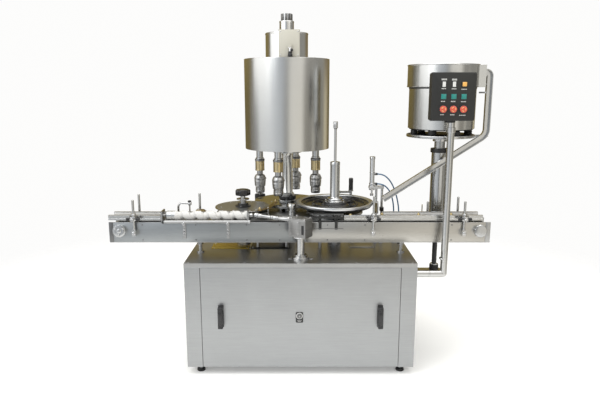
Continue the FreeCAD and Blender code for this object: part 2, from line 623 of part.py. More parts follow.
def screw_tray():
    """Rounded tray bar in front of the worm, two bearing plates and two slotted bracket legs."""
    y = "(screw_y - screw_radius - 14)"
    bar = rod("9", "screw_end - screw_start + 40", "screw_start - 20", y, "screw_z - 28", ALONG_X)
    pieces = [bar]
    for x in ("screw_start - 24", "screw_end + 4"):
        pieces.append(block(x, y + " - 6", "chain_top + 2", "8", "screw_radius + 46", "58"))
    for x in ("bracket_left", "bracket_right"):
        pieces.append(block(x + " - 8", CONV_FRONT + " - 6", "bracket_low", "16", "6",
                            "screw_z - 28 - bracket_low"))
        pieces.append(block(x + " - 8", y, "screw_z - 38", "16", CONV_FRONT + " - " + y, "8"))
    holes = [rod("screw_shaft + running", "30", x, "screw_y", "screw_z", ALONG_X)
             for x in ("screw_start - 35", "screw_end - 7")]
    slots = [block(x + " - 2.5", CONV_FRONT + " - 8", "760", "5", "20", "34")
             for x in ("bracket_left", "bracket_right")]
    return cut("screw_tray", fuse("tray_blank", *pieces), fuse("tray_holes", *holes, *slots))


def gearbox_post():
    """Post with a double flange on the worktop, bolted down by four screws."""
    return turned("gearbox_post", stack(
        "0", ("gear_post_radius * 2.1", "work_top", "work_top + 10"),
        ("gear_post_radius * 1.5", "work_top + 10", "work_top + 22"),
        ("gear_post_radius", "work_top + 22", "gearbox_low")), "gear_post_x", "gear_post_y")


def gearbox_turn():
    return FreeCAD.Rotation(Z_AXIS, -number("gearbox_yaw"))


def angle_gearbox():
    """Rounded box turned on its post, with an output boss towards the timing screw."""
    body = new_body("angle_gearbox", "gear_post_x", "gear_post_y", "gearbox_low", gearbox_turn())
    face = new_sketch(body, "XY_Plane")
    oblong(face, "-gearbox_length / 2", "-gearbox_width / 2", "gearbox_length / 2", "gearbox_width / 2")
    case = pad(body, face, "gearbox_high - gearbox_low")
    doc.recompute()
    round_top = body.newObject("PartDesign::Fillet", "Rounded")
    edges = []
    for index, edge in enumerate(case.Shape.Edges, start=1):
        if min(vertex.Point.z for vertex in edge.Vertexes) > number("gearbox_high - gearbox_low") - 1:
            edges.append("Edge%d" % index)
    round_top.Base = (case, edges)
    round_top.Radius = 12
    doc.recompute()
    boss = new_sketch(body, "YZ_Plane", "-gearbox_length / 2 - 12")
    disc(boss, "cardan_ball", "0", "cardan_z - gearbox_low")
    pad(body, boss, "14")
    return body


def cardan_ends():
    """The two joint centres of the cardan shaft: beside the gearbox boss and beside the worm."""
    reach = number("gearbox_length / 2 + 12 + cardan_ball + 1")
    start = FreeCAD.Vector(number("gear_post_x"), number("gear_post_y"), number("cardan_z"))
    start = start + gearbox_turn().multVec(FreeCAD.Vector(-reach, 0, 0))
    end = FreeCAD.Vector(number("screw_end + 32 + cardan_ball"), number("screw_y"), number("screw_z"))
    return start, end


def cardan_shaft():
    """Slim shaft with a forked joint at each end, modelled as a ball and two cheeks."""
    start, end = cardan_ends()
    run = end - start
    turn = FreeCAD.Rotation(Z_AXIS, run)
    length = run.Length
    pieces = [Part.makeCylinder(number("cardan_radius"), length)]
    for low in (0, length):
        pieces.append(Part.makeSphere(number("cardan_ball"), FreeCAD.Vector(0, 0, low)))
    for low in (number("cardan_ball") * 0.6, length - number("cardan_ball") * 0.6 - 26):
        pieces.append(Part.makeCylinder(number("cardan_radius") + 5, 26, FreeCAD.Vector(0, 0, low)))
    shape = pieces[0].multiFuse(pieces[1:])
    return plain("cardan_shaft", shape, FreeCAD.Placement(start, turn))


# ---- stars and turret ----

def pocketed(body, low, thick, pitch, radius):
    """Cut four open bottle pockets round the body's axis at the pitch circle."""
    sketch = new_sketch(body, "XY_Plane", low)
    disc(sketch, radius, pitch, "0")
    doc.recompute()
    mouth = pocket(body, sketch, thick, reverse=True)
    doc.recompute()
    return around(body, mouth, 4)


def infeed_star():
    """Star wheel on its shaft with the gear below, the round cover above and the knob's chrome base."""
    body = turned("infeed_star", stack(
        "0", ("shaft_radius", "gear_low - 20", "gear_low"),
        (INFEED_GEAR + " - gear_gap / 2", "gear_low", "gear_low + gear_thick"),
        ("shaft_radius", "gear_low + gear_thick", "boss_high + gear_gap"),
        ("shaft_radius + boss_wall", "boss_high + gear_gap", "boss_high + 12"),
        ("shaft_radius", "boss_high + 12", "star_low - 10"),
        ("shaft_radius + 30", "star_low - 10", "star_low"),
        (INFEED_PITCH + " - 4", "star_low", "star_low + star_thick"),
        ("shaft_radius + 30", "star_low + star_thick", "cover_low"),
        (COVER, "cover_low", "cover_low + cover_thick"),
        ("knob_block", "cover_low + cover_thick", "knob_flange_low - 19"),
        ("knob_flange * 0.45", "knob_flange_low - 19", "knob_flange_low"),
        ("knob_flange", "knob_flange_low", "knob_flange_low + 6")),
        "infeed_x", INFEED_Y)
    pocketed(body, "star_low", "star_thick", INFEED_PITCH, "bottle_radius")
    return body


def hand_knob():
    """Black clamp knob above the star's flange."""
    return turned("hand_knob", [
        ("0", "knob_flange_low + 6"), ("knob_radius * 0.42", "knob_flange_low + 6"),
        ("knob_radius * 0.33", "knob_low"), ("knob_radius * 0.94", "knob_low"),
        ("knob_radius", "knob_low + 4"), ("knob_radius", "knob_high - 6"),
        ("knob_radius * 0.9", "knob_high"), ("0", "knob_high")], "infeed_x", INFEED_Y)


def outfeed_star():
    """Discharge star wheel, shaft and gear, flanged to carry the cap dial."""
    body = turned("outfeed_star", stack(
        "0", ("shaft_radius", "gear_low - 20", "gear_low + gear_thick"),
        (OUTFEED_GEAR + " - gear_gap / 2", "gear_low + gear_thick", "gear_low + 2 * gear_thick"),
        ("shaft_radius", "gear_low + 2 * gear_thick", "boss_high + gear_gap"),
        ("shaft_radius + boss_wall", "boss_high + gear_gap", "boss_high + 12"),
        ("shaft_radius", "boss_high + 12", "star_low - 10"),
        ("shaft_radius + 30", "star_low - 10", "star_low"),
        (OUTFEED_PITCH + " - 4", "star_low", "star_low + star_thick"),
        ("shaft_radius + 40", "star_low + star_thick", "dial_low")), "outfeed_x", OUTFEED_Y)
    pocketed(body, "star_low", "star_thick", OUTFEED_PITCH, "bottle_radius")
    return body


def cap_dial():
    """Dished dial with a chrome rim, two inner ridges and the tall adjuster tube in its middle."""
    return turned("cap_dial", [
        ("adjuster_rod + running", "dial_low"), ("dial_radius - 20", "dial_low"),
        ("dial_radius - 4", "dial_low + 14"), ("dial_radius", "dial_high - 8"), ("dial_radius", "dial_high"),
        ("dial_radius - dial_rim", "dial_high"), ("dial_radius - dial_rim - 4", "dial_high - 14"),
        ("dial_radius * 0.8", "dial_high - 16"), ("dial_radius * 0.79", "dial_high - 9"),
        ("dial_radius * 0.76", "dial_high - 9"), ("dial_radius * 0.75", "dial_high - 18"),
        ("dial_radius * 0.6", "dial_high - 18"), ("dial_radius * 0.59", "dial_high - 10"),
        ("dial_radius * 0.56", "dial_high - 10"), ("dial_radius * 0.55", "dial_high - 20"),
        ("dial_radius * 0.36", "dial_high - 20"), ("dial_radius * 0.3", "dial_high"),
        ("adjuster_radius + 16", "dial_high + 6"), ("adjuster_radius + 16", "dial_high + 16"),
        ("adjuster_radius", "dial_high + 20"), ("adjuster_radius", "adjuster_high"),
        ("adjuster_rod + running", "adjuster_high")], "outfeed_x", OUTFEED_Y)


def adjuster_rod():
    """Rod with a knurled end that slides in the adjuster tube."""
    return turned("adjuster_rod", [
        ("0", "adjuster_high - 180"), ("adjuster_rod", "adjuster_high - 180"),
        ("adjuster_rod", "adjuster_top"), ("adjuster_knob", "adjuster_top"),
        ("adjuster_knob", "adjuster_top + 38"), ("0", "adjuster_top + 38")], "outfeed_x", OUTFEED_Y)


def guard_lever():
    """Swinging lever post with a grip and a short arm towards the dial's rim."""
    post = turned("lever_post", stack(
        "0", ("lever_pin", "work_top - top_plate", "work_top + boss_wall + gear_gap"),
        ("lever_pin + 6", "work_top + boss_wall + gear_gap", "work_top + boss_wall + 12"),
        ("lever_pin", "work_top + boss_wall + 12", "lever_low"),
        ("lever_pin + 4", "lever_low", "lever_high")),
        "lever_x", "lever_y")
    arm = block("lever_x - 78", "lever_y - 8", "dial_high + 8", "78", "16", "10")
    tip = rod("14", "14", "lever_x - 78", "lever_y", "dial_high + 6")
    return fuse("guard_lever", post, arm, tip)


def center_column():
    """Fixed column on the cabinet floor that carries the cam drum through the hollow rotor."""
    return turned("center_column", stack(
        "0", ("column_radius * 4", "foot_height + floor_plate", "foot_height + floor_plate + 16"),
        ("column_radius * 2", "foot_height + floor_plate + 16", "foot_height + floor_plate + 60"),
        ("column_radius", "foot_height + floor_plate + 60", "drum_high - drum_roof")), "turret_x", "turret_y")


HEAD_START = 253.9
HEAD_OFFSETS = [("head_pitch * cos(%.1f)" % (HEAD_START + 90 * index),
                 "head_pitch * sin(%.1f)" % (HEAD_START + 90 * index)) for index in range(4)]
HEAD_HEIGHTS = ["1073", "1068", "1051", "1051"]


def turret_rotor():
    """Hollow rotor: two gears, bottle table, slotted star disc, tube and the head carrier in the drum."""
    bore = "column_radius + running"
    body = turned("turret_rotor", stack(
        bore, ("rotor_shaft", "gear_low - 20", "gear_low"),
        (INFEED_GEAR + " - gear_gap / 2", "gear_low", "gear_low + gear_thick"),
        (OUTFEED_GEAR + " - gear_gap / 2", "gear_low + gear_thick", "gear_low + 2 * gear_thick"),
        ("rotor_shaft", "gear_low + 2 * gear_thick", "boss_high + gear_gap"),
        ("rotor_shaft + boss_wall", "boss_high + gear_gap", "boss_high + 14"),
        ("rotor_shaft + 5", "boss_high + 14", "table_low"),
        ("table_radius", "table_low", "table_low + table_thick"),
        ("rotor_shaft + 25", "table_low + table_thick", "turret_disc_low"),
        ("turret_disc", "turret_disc_low", "turret_disc_low + disc_thick"),
        ("rotor_radius * 1.5", "turret_disc_low + disc_thick", "turret_disc_low + disc_thick + 15"),
        ("rotor_radius * 1.72", "turret_disc_low + disc_thick + 15", "turret_disc_low + disc_thick + 38"),
        ("rotor_radius", "turret_disc_low + disc_thick + 38", "carrier_low - 40"),
        ("rotor_radius * 3.4", "carrier_low - 40", "carrier_low - 16"),
        ("rotor_radius * 2.4", "carrier_low - 16", "carrier_low"),
        (CARRIER, "carrier_low", "carrier_low + carrier_thick"),
        ("rotor_radius * 2", "carrier_low + carrier_thick", "carrier_low + 120")), "turret_x", "turret_y")
    for low, thick, radius in (("turret_disc_low", "disc_thick", "bottle_radius"),
                               ("carrier_low", "carrier_thick", "spindle_radius + running")):
        holes = new_sketch(body, "XY_Plane", low)
        for x, y in HEAD_OFFSETS:
            disc(holes, radius, x, y)
        doc.recompute()
        pocket(body, holes, thick, reverse=True)
    return body


def head(index):
    """One capping head: spindle with collar, cam roller and drive pin, and the chuck that spins on it."""
    letter = "bdca"[index]
    x = "turret_x + " + HEAD_OFFSETS[index][0]
    y = "turret_y + " + HEAD_OFFSETS[index][1]
    low = HEAD_HEIGHTS[index]
    spindle = turned("spindle_blank_" + letter, stack(
        "0", ("pin_radius", "-pin_length", "0"), ("collar_radius", "0", "collar_high"),
        ("collar_radius + 1.5", "collar_high", "collar_high + 12"),
        ("spindle_radius", "collar_high + 12", "spindle_top - " + low)), x, y, low)
    angle = HEAD_START + 90 * index
    roller_turn = FreeCAD.Rotation(Z_AXIS, angle) * ALONG_X
    roller = rod("roller_radius", ROLLER_REACH, x, y, "spindle_top - roller_drop", roller_turn)
    fuse("spindle_" + letter, spindle, roller)
    turned("chuck_" + letter, [
        ("0", "-chuck_length"), ("chuck_foot - 3", "-chuck_length"), ("chuck_foot", "-chuck_length + 4"),
        ("chuck_foot", "-chuck_length + 36"), ("chuck_foot - 3", "-chuck_length + 38"),
        ("chuck_foot - 3", "-chuck_length + 42"), ("chuck_foot + 2.5", "-chuck_length + 43"),
        ("chuck_foot + 2.5", "-chuck_length + 68"), ("chuck_body", "-chuck_length + 72"),
        ("chuck_body", "-40"), ("chuck_body - 4", "-30"), ("chuck_neck", "-22"),
        ("chuck_neck", "-gear_gap"), ("pin_radius + running", "-gear_gap"),
        ("pin_radius + running", "-pin_length - gear_gap"), ("0", "-pin_length - gear_gap")], x, y, low)


def cam_drum():
    """Round steel housing, open below, with two cam rings on its wall and a hub over the column."""
    ceiling = "(drum_high - drum_roof)"
    upper, lower = "(spindle_top + ring_above)", "(spindle_top - ring_below)"
    return turned("cam_drum", [
        ("0", ceiling), ("column_radius + running", ceiling),
        ("column_radius + running", ceiling + " - hub_high"),
        ("column_radius + boss_wall", ceiling + " - hub_high"), ("column_radius + boss_wall", ceiling),
        (DRUM_WALL, ceiling),
        (DRUM_WALL, upper + " + ring_thick"), (CAM_RING, upper + " + ring_thick"),
        (CAM_RING, upper), (DRUM_WALL, upper),
        (DRUM_WALL, lower), (CAM_RING, lower),
        (CAM_RING, lower + " - ring_thick"), (DRUM_WALL, lower + " - ring_thick"),
        (DRUM_WALL, "drum_low"), ("drum_radius", "drum_low"), ("drum_radius", "drum_high"),
        ("0", "drum_high")], "turret_x", "turret_y")


def drum_top():
    """Slip-ring housing on the drum: wide can, narrow can and ribbed cap, hollow from below."""
    return turned("drum_top", [
        ("cap_radius - 4", "drum_high"), ("cap_radius", "drum_high"), ("cap_radius", "cap_high"),
        ("mast_radius", "cap_high"), ("mast_radius", "mast_high"), ("ribbed_radius", "mast_high"),
        ("ribbed_radius", "top_high"), ("0", "top_high"), ("0", "mast_high - 4"),
        ("mast_radius - 4", "mast_high - 4"), ("mast_radius - 4", "cap_high - 4"),
        ("cap_radius - 4", "cap_high - 4")], "turret_x", "turret_y")


def junction_box():
    """Electrical box in front of the slip-ring housing, with a round gland on its face."""
    y = "turret_y - cap_radius - 1 - box_deep"
    case = block("box_x - box_wide / 2", y, "drum_high", "box_wide", "box_deep", "box_tall")
    gland = rod("11", "18", "box_x + 2", y + " - 18", "drum_high + box_tall * 0.42", ALONG_Y)
    hollow = block("box_x - box_wide / 2 + 3", y + " + 3", "drum_high + 3", "box_wide - 6",
                   "box_deep - 6", "box_tall - 6")
    return fuse("junction_box", cut("case", case, hollow), gland)


# ---- bowl feeder ----

def feeder_column():
    """Arm from the cabinet's side, jack screw and the bored column for the feeder's tube."""
    arm = block("cab_width / 2", "bowl_y - arm_width / 2", "arm_low", "bowl_x - cab_width / 2 + 46",
                "arm_width", "arm_high - arm_low")
    post = turned("column_post", [
        ("0", "arm_high"), ("jack_radius * 1.8", "arm_high"), ("jack_radius * 1.8", "arm_high + 40"),
        ("jack_radius", "arm_high + 44"), ("jack_radius", "column_low"), ("column_outer", "column_low"),
        ("column_outer", "column_high"), ("tube_radius + running", "column_high"),
        ("tube_radius + running", "column_low + 20"), ("0", "column_low + 20")], "bowl_x", "bowl_y")
    return fuse("feeder_column", arm, post)


def feeder_mast():
    """Sliding tube with the round base plate and three rubber mounts for the bowl."""
    body = turned("mast_tube", stack(
        "0", ("tube_radius", "tube_low", "plate_low - 10"),
        ("tube_radius * 2", "plate_low - 10", "plate_low"),
        ("plate_radius", "plate_low", "plate_high")), "bowl_x", "bowl_y")
    mount = new_sketch(body, "XY_Plane", "plate_high")
    disc(mount, "mount_radius", "plate_radius - mount_radius * 1.6", "0")
    raised = pad(body, mount, "bowl_low - plate_high - gear_gap")
    doc.recompute()
    around(body, raised, 3)
    back = "(chute_y + chute_deep / 2)"
    strap = block("bowl_x + plate_radius * 0.72", back, "plate_low + 3",
                  "chute_x + chute_wide / 2 - bowl_x - plate_radius * 0.72", "14",
                  "plate_high - plate_low - 3")
    return fuse("feeder_mast", body, strap)


def bowl():
    """Vibrating bowl: drive drum below, wider bowl with a coned floor above, and the outlet box."""
    pan = turned("bowl_pan", [
        ("0", "bowl_low"), ("bowl_drum - 7", "bowl_low"), ("bowl_drum - 7", "bowl_low + 8"),
        ("bowl_hub", "bowl_low + 8"), ("bowl_hub", "bowl_mid - 12"),
        ("bowl_drum - bowl_wall", "bowl_mid - 12"),
        ("bowl_drum - bowl_wall", "bowl_low + 1"), ("bowl_drum", "bowl_low + 1"), ("bowl_drum", "bowl_mid"),
        ("bowl_ring", "bowl_mid"),
        ("bowl_ring", "bowl_high"), ("bowl_ring - bowl_wall", "bowl_high"),
        ("bowl_ring - bowl_wall", "bowl_high - 60"), ("bowl_ring - 36", "bowl_high - 62"),
        ("bowl_ring - 38", "bowl_mid + 14"), ("0", "bowl_mid + 34")], "bowl_x", "bowl_y")
    outlet = block("bowl_x + bowl_ring * 0.55", "chute_y - chute_deep", "bowl_mid",
                   "outlet_x - bowl_x - bowl_ring * 0.55", "chute_deep * 3", "bowl_high - bowl_mid - 4")
    hollow = block("bowl_x + bowl_ring * 0.9", "chute_y - chute_deep + 4", "bowl_high - 4 - chute_wide * 2",
                   "outlet_x - bowl_x", "chute_deep * 3 - 8", "chute_wide * 2 + 10")
    return cut("bowl", fuse("bowl_blank", pan, outlet), hollow)


def chute_path(points, radii):
    """Straight runs joined by tangent arcs in the chute's own plane, as a wire."""
    edges = []
    last = points[0]
    for index in range(1, len(points) - 1):
        corner = points[index]
        inward = (points[index - 1] - corner).normalize()
        outward = (points[index + 1] - corner).normalize()
        half = inward.getAngle(outward) / 2
        reach = radii[index - 1] / math.tan(half)
        begin, finish = corner + inward * reach, corner + outward * reach
        bulge = radii[index - 1] / math.sin(half) - radii[index - 1]
        middle = corner + (inward + outward).normalize() * bulge
        if (begin - last).Length > 1e-6:
            edges.append(Part.makeLine(last, begin))
        edges.append(Part.Arc(begin, middle, finish).toShape())
        last = finish
    edges.append(Part.makeLine(last, points[-1]))
    return Part.Wire(edges)


def strip(wire, low_y, high_y, half_low, half_high):
    """Sweep a rectangle in the plane across the path: from half_low to half_high sideways."""
    start = wire.Edges[0].valueAt(wire.Edges[0].FirstParameter)
    round_corners = ((low_y, half_low), (high_y, half_low), (high_y, half_high), (low_y, half_high))
    corners = [FreeCAD.Vector(start.x, y, start.z + side) for y, side in round_corners]
    profile = Part.makePolygon(corners + [corners[0]])
    return wire.makePipeShell([profile], True, False)


def chute():
    """Open cap channel: down from the bowl's outlet, then slanting to the dial."""
    y = number("chute_y")
    half, wall, deep = number("chute_wide / 2"), number("chute_wall"), number("chute_deep")
    corners = [("outlet_x + 1", "chute_top"), ("chute_x", "chute_top"), ("chute_x", "chute_bend"),
               ("chute_end", "dial_high + 22")]
    points = [FreeCAD.Vector(number(x), y, number(z)) for x, z in corners]
    wire = chute_path(points, [number("bend_upper"), number("bend_lower")])
    outer = strip(wire, y - deep / 2, y + deep / 2, -half, half)
    inner = strip(wire, y - deep, y + deep / 2 - wall, -half + wall, half - wall)
    return plain("chute", outer.cut(inner))


# ---- control post and panel ----

def control_post():
    """Tube from the cabinet's side to the corner and up to the panel, with a bored top."""
    level = rod("post_radius", "post_x - cab_width / 2", "cab_width / 2", "post_y", "post_z", ALONG_X)
    corner = ball("post_radius", "post_x", "post_y", "post_z")
    upright = rod("post_radius", "panel_low - gear_gap - post_z", "post_x", "post_y", "post_z")
    flange = rod("post_radius * 1.8", "8", "cab_width / 2", "post_y", "post_z", ALONG_X)
    bore = rod("post_bore + running", "60", "post_x", "post_y", "panel_low - 59")
    return cut("control_post", fuse("post_blank", level, corner, upright, flange), bore)


KEYS = [("-key_pitch", "mid_row"), ("0", "mid_row"), ("key_pitch", "mid_row")]
STOPS = [("-key_pitch", "low_row"), ("0", "low_row"), ("key_pitch", "low_row")]
ROCKERS = [("-key_pitch", "top_row"), ("0", "top_row")]


def control_panel():
    """Panel case on a swivel stub, with a socket for each control and the signal lamp."""
    body = new_body("control_panel")
    face = new_sketch(body, "XZ_Plane", "-panel_front - panel_deep")
    oblong(face, "panel_x - panel_wide / 2", "panel_low", "panel_x + panel_wide / 2", "panel_high")
    case = pad(body, face, "panel_deep")
    doc.recompute()
    rounded = body.newObject("PartDesign::Fillet", "Rounded")
    upright = []
    for index, edge in enumerate(case.Shape.Edges, start=1):
        spots = [vertex.Point for vertex in edge.Vertexes]
        if abs(spots[0].y - spots[-1].y) > 1:
            upright.append("Edge%d" % index)
    rounded.Base = (case, upright)
    rounded.Radius = 10
    doc.recompute()
    back = new_sketch(body, "XZ_Plane", "-panel_front - panel_deep + panel_hollow")
    oblong(back, "panel_x - panel_wide / 2 + 5", "panel_low + 5", "panel_x + panel_wide / 2 - 5",
           "panel_high - 5")
    pocket(body, back, "panel_hollow")
    stub = new_sketch(body, "XY_Plane", "panel_low - 50")
    disc(stub, "post_bore", "post_x", "post_y")
    pad(body, stub, "52")
    lamp = new_sketch(body, "XZ_Plane", "-panel_front")
    oblong(lamp, "panel_x + key_pitch - key_size / 2", "top_row - key_size / 2",
           "panel_x + key_pitch + key_size / 2", "top_row + key_size / 2")
    pad(body, lamp, "key_proud")
    for shift, row in KEYS:
        socket = new_sketch(body, "XZ_Plane", "-panel_front")
        half = "(key_size / 2 + key_gap)"
        oblong(socket, "panel_x + %s - %s" % (shift, half), row + " - " + half,
               "panel_x + %s + %s" % (shift, half), row + " + " + half)
        pocket(body, socket, "key_socket")
    for shift, row in ROCKERS:
        socket = new_sketch(body, "XZ_Plane", "-panel_front")
        wide, tall = "rocker_wide / 2 + key_gap", "rocker_tall / 2 + 2 * key_gap"
        oblong(socket, "panel_x + %s - (%s)" % (shift, wide), row + " - (%s)" % tall,
               "panel_x + %s + %s" % (shift, wide), row + " + " + tall)
        pocket(body, socket, "key_socket")
    for shift, row in STOPS:
        socket = new_sketch(body, "XZ_Plane", "-panel_front")
        disc(socket, "stop_stem + running", "panel_x + " + shift, row)
        pocket(body, socket, "key_socket * 2")
    return body


def controls():
    """Two rockers, three square push buttons and three mushroom stop buttons."""
    for index, (shift, row) in enumerate(ROCKERS, start=1):
        cap = block("panel_x + %s - rocker_wide / 2" % shift, "panel_front - 5", row + " - rocker_tall / 2",
                    "rocker_wide", "11", "rocker_tall")
        cap.Label = "rocker_switch_%d" % index
    for index, (shift, row) in enumerate(KEYS, start=1):
        cap = block("panel_x + %s - key_size / 2" % shift, "panel_front - key_proud", row + " - key_size / 2",
                    "key_size", "key_proud + key_socket - 5", "key_size")
        cap.Label = "push_button_%d" % index
    for index, (shift, row) in enumerate(STOPS, start=1):
        turned("stop_button_%d" % index, [
            ("0", "-key_socket"), ("stop_stem", "-key_socket"), ("stop_stem", "stop_proud - 9"),
            ("stop_radius", "stop_proud - 9"), ("stop_radius", "stop_proud - 4"),
            ("stop_radius - 5", "stop_proud"), ("0", "stop_proud")],
            "panel_x + " + shift, "panel_front", row, FreeCAD.Rotation(X_AXIS, 90))


# ---- air cylinder at the chute's foot ----

def air_cylinder():
    """Upright cylinder on a bracket with two stand posts, hose elbows and the landing track for caps."""
    barrel = rod("air_radius", "air_high - air_low", "air_x", "air_y", "air_low")
    ends = [rod("air_radius + 2", "14", "air_x", "air_y", low) for low in ("air_low", "air_high - 14")]
    bracket = block("air_x - 18", "air_y - 16", "air_low - 14", "stand_x + stand_pitch - air_x + 27",
                    "32", "14")
    posts = [rod("stand_radius", "air_low - 14 - work_top", x, "air_y", "work_top")
             for x in ("stand_x", "stand_x + stand_pitch")]
    feet = [rod("stand_radius * 2", "8", x, "air_y", "work_top")
            for x in ("stand_x", "stand_x + stand_pitch")]
    cheek = block("stand_x - 8", "chute_y - 20", "dial_high - 60", "8", "air_y - chute_y + 40", "62")
    track = block("air_x - 14", "chute_y - 14", "dial_high + 2", "stand_x - air_x + 14", "28", "5")
    ports = [rod("5", "air_radius + 12", "air_x", "air_y", z, ALONG_X)
             for z in ("air_low + 72", "air_low + 13")]
    bore = rod("air_rod + running", "60", "air_x", "air_y", "air_low - 20")
    return cut("air_cylinder", fuse("cylinder_blank", barrel, *ends, bracket, *posts, *feet, cheek, track,
                                    *ports), bore)


def cylinder_rod():
    """Piston rod with the stop pad that gates the caps."""
    return turned("cylinder_rod", stack(
        "0", ("air_rod * 2", "dial_high + 26", "dial_high + 38"),
        ("air_rod", "dial_high + 38", "air_low + 38")),
        "air_x", "air_y")


HOSE_UPPER = [(451, -30, 1062), (488, -30, 1062), (530, -24, 1027), (559, -16, 978), (579, -12, 920),
              (592, -10, 860), (596, -10, 795), (592, -10, 725), (592, -10, 655)]
HOSE_LOWER = [(451, -30, 1003), (486, -30, 1003), (526, -27, 972), (549, -22, 922), (560, -19, 868),
              (563, -18, 810), (562, -17, 755), (566, -16, 705), (566, -16, 655)]


def hose(label, points):
    """Air hose: straight runs joined by the largest tangent arcs that its runs allow."""
    spots = [FreeCAD.Vector(*point) for point in points]
    radii = []
    for index in range(1, len(spots) - 1):
        before, after = spots[index - 1] - spots[index], spots[index + 1] - spots[index]
        turn = math.pi - before.getAngle(after)
        radii.append(0.45 * min(before.Length, after.Length) / math.tan(turn / 2))
    wire = chute_path(spots, radii)
    radius = number("hose_radius")
    circle = Part.makeCircle(radius, spots[0], spots[1] - spots[0])
    tube = wire.makePipeShell([Part.Wire([circle])], True, False)
    print(label, "length", round(wire.Length, 1), "arc radii", [round(value) for value in radii],
          "volume ratio", round(tube.Volume / (math.pi * radius ** 2 * wire.Length), 4))
    return plain(label, tube)


# ---- drive in the cabinet ----

def reducer():
    """Gear reducer on a pedestal, with the bored seat for the pinion's shaft."""
    half = "reducer_size / 2"
    x, y = PINION_X, PINION_Y
    case = block(x + " - " + half, y + " - " + half, "reducer_low", "reducer_size", "reducer_size",
                 "reducer_high - reducer_low")
    pedestal = block(x + " - " + half, y + " - " + half, "foot_height + floor_plate",
                     "reducer_size", "reducer_size", "reducer_low - foot_height - floor_plate")
    window = block(x + " - reducer_size", y + " - " + half + " + 12", "foot_height + floor_plate + 12",
                   "reducer_size * 2", "reducer_size - 24", "reducer_low - foot_height - floor_plate - 24")
    neck = rod("pinion_shaft * 2.4", "30", x, y, "reducer_high")
    bore = rod("pinion_shaft + running", "120", x, y, "reducer_high - 60")
    return cut("reducer", fuse("reducer_blank", case, pedestal, neck), fuse("reducer_cuts", bore, window))


def drive_motor():
    """Flanged motor with a fan cover and terminal box, on the reducer's side."""
    x = PINION_X + " + reducer_size / 2"
    z = "(reducer_low + reducer_high) / 2"
    y = PINION_Y
    pieces = [rod("motor_radius", "motor_length", x, y, z, ALONG_X),
              rod("motor_radius + 12", "14", x, y, z, ALONG_X),
              rod("motor_radius + 5", "50", x + " + motor_length - 50", y, z, ALONG_X),
              block(x + " + 70", y + " - 45", z + " + motor_radius - 10", "100", "90", "55")]
    return fuse("drive_motor", *pieces)


def drive_pinion():
    """Pinion on the reducer's output shaft, in mesh with the rotor's lower gear."""
    return turned("drive_pinion", stack(
        "0", ("pinion_shaft", "reducer_high - 40", "reducer_high + 30 + gear_gap"),
        ("pinion_shaft * 1.8", "reducer_high + 30 + gear_gap", "reducer_high + 42"),
        ("pinion_shaft", "reducer_high + 42", "gear_low"),
        ("pinion_radius - gear_gap / 2", "gear_low", "gear_low + gear_thick")), PINION_X, PINION_Y)


def build_all():
    cabinet()
    worktop()
    levelling_feet()
    front_cover()
    front_handles()
    front_lock()
    conveyor_frame()
    conveyor_chain()
    roller("drive_roller", DRIVE_X)
    roller("idler_roller", IDLER_X)
    conveyor_bearings()
    guide_posts()
    guide_rail("left_guide_rail", "-conv_left - 4", "left_rail_end", ["-922"])
    guide_rail("right_guide_rail", "black_rail_end + 2", "right_rail_end", ["404", "905"])
    black_guide_rail()
    timing_screw()
    screw_tray()
    gearbox_post()
    angle_gearbox()
    cardan_shaft()
    infeed_star()
    hand_knob()
    outfeed_star()
    cap_dial()
    adjuster_rod()
    guard_lever()
    center_column()
    turret_rotor()
    for index in range(4):
        head(index)
    cam_drum()
    drum_top()
    junction_box()
    feeder_column()
    feeder_mast()
    bowl()
    chute()
    control_post()
    control_panel()
    controls()
    air_cylinder()
    cylinder_rod()
    hose("air_hose_upper", HOSE_UPPER)
    hose("air_hose_lower", HOSE_LOWER)
    reducer()
    drive_motor()
    drive_pinion()


NODES = """cabinet worktop levelling_feet front_cover front_handles front_lock conveyor_frame
conveyor_chain drive_roller idler_roller conveyor_bearings guide_posts left_guide_rail right_guide_rail
black_guide_rail timing_screw screw_tray gearbox_post angle_gearbox cardan_shaft infeed_star hand_knob
outfeed_star cap_dial adjuster_rod guard_lever center_column turret_rotor spindle_a spindle_b spindle_c
spindle_d chuck_a chuck_b chuck_c chuck_d cam_drum drum_top junction_box feeder_column feeder_mast bowl
chute control_post control_panel rocker_switch_1 rocker_switch_2 push_button_1 push_button_2
push_button_3 stop_button_1 stop_button_2 stop_button_3 air_cylinder cylinder_rod air_hose_upper
air_hose_lower reducer drive_motor drive_pinion""".split()


def write_parts():
    """Check every object, then write one file for each sub-part."""
    failed = ["%s %s" % (item.Name, item.Label) for item in doc.Objects
              if "Invalid" in item.State or "Error" in item.State]
    if failed:
        raise RuntimeError("failed: " + ", ".join(failed))
    found = {item.Label: item for item in doc.Objects if item.Label in NODES}
    bad = [name for name in NODES if found[name].Shape.isNull() or not found[name].Shape.isValid()]
    if bad:
        raise RuntimeError("bad shapes: " + ", ".join(bad))
    for name in NODES:
        found[name].Shape.exportStep("parts/%s.step" % name)
    print("wrote", len(NODES), "parts")


build_all()
doc.recompute()
write_parts()
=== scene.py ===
import math

import bmesh
import bpy
from mathutils import Matrix, Vector


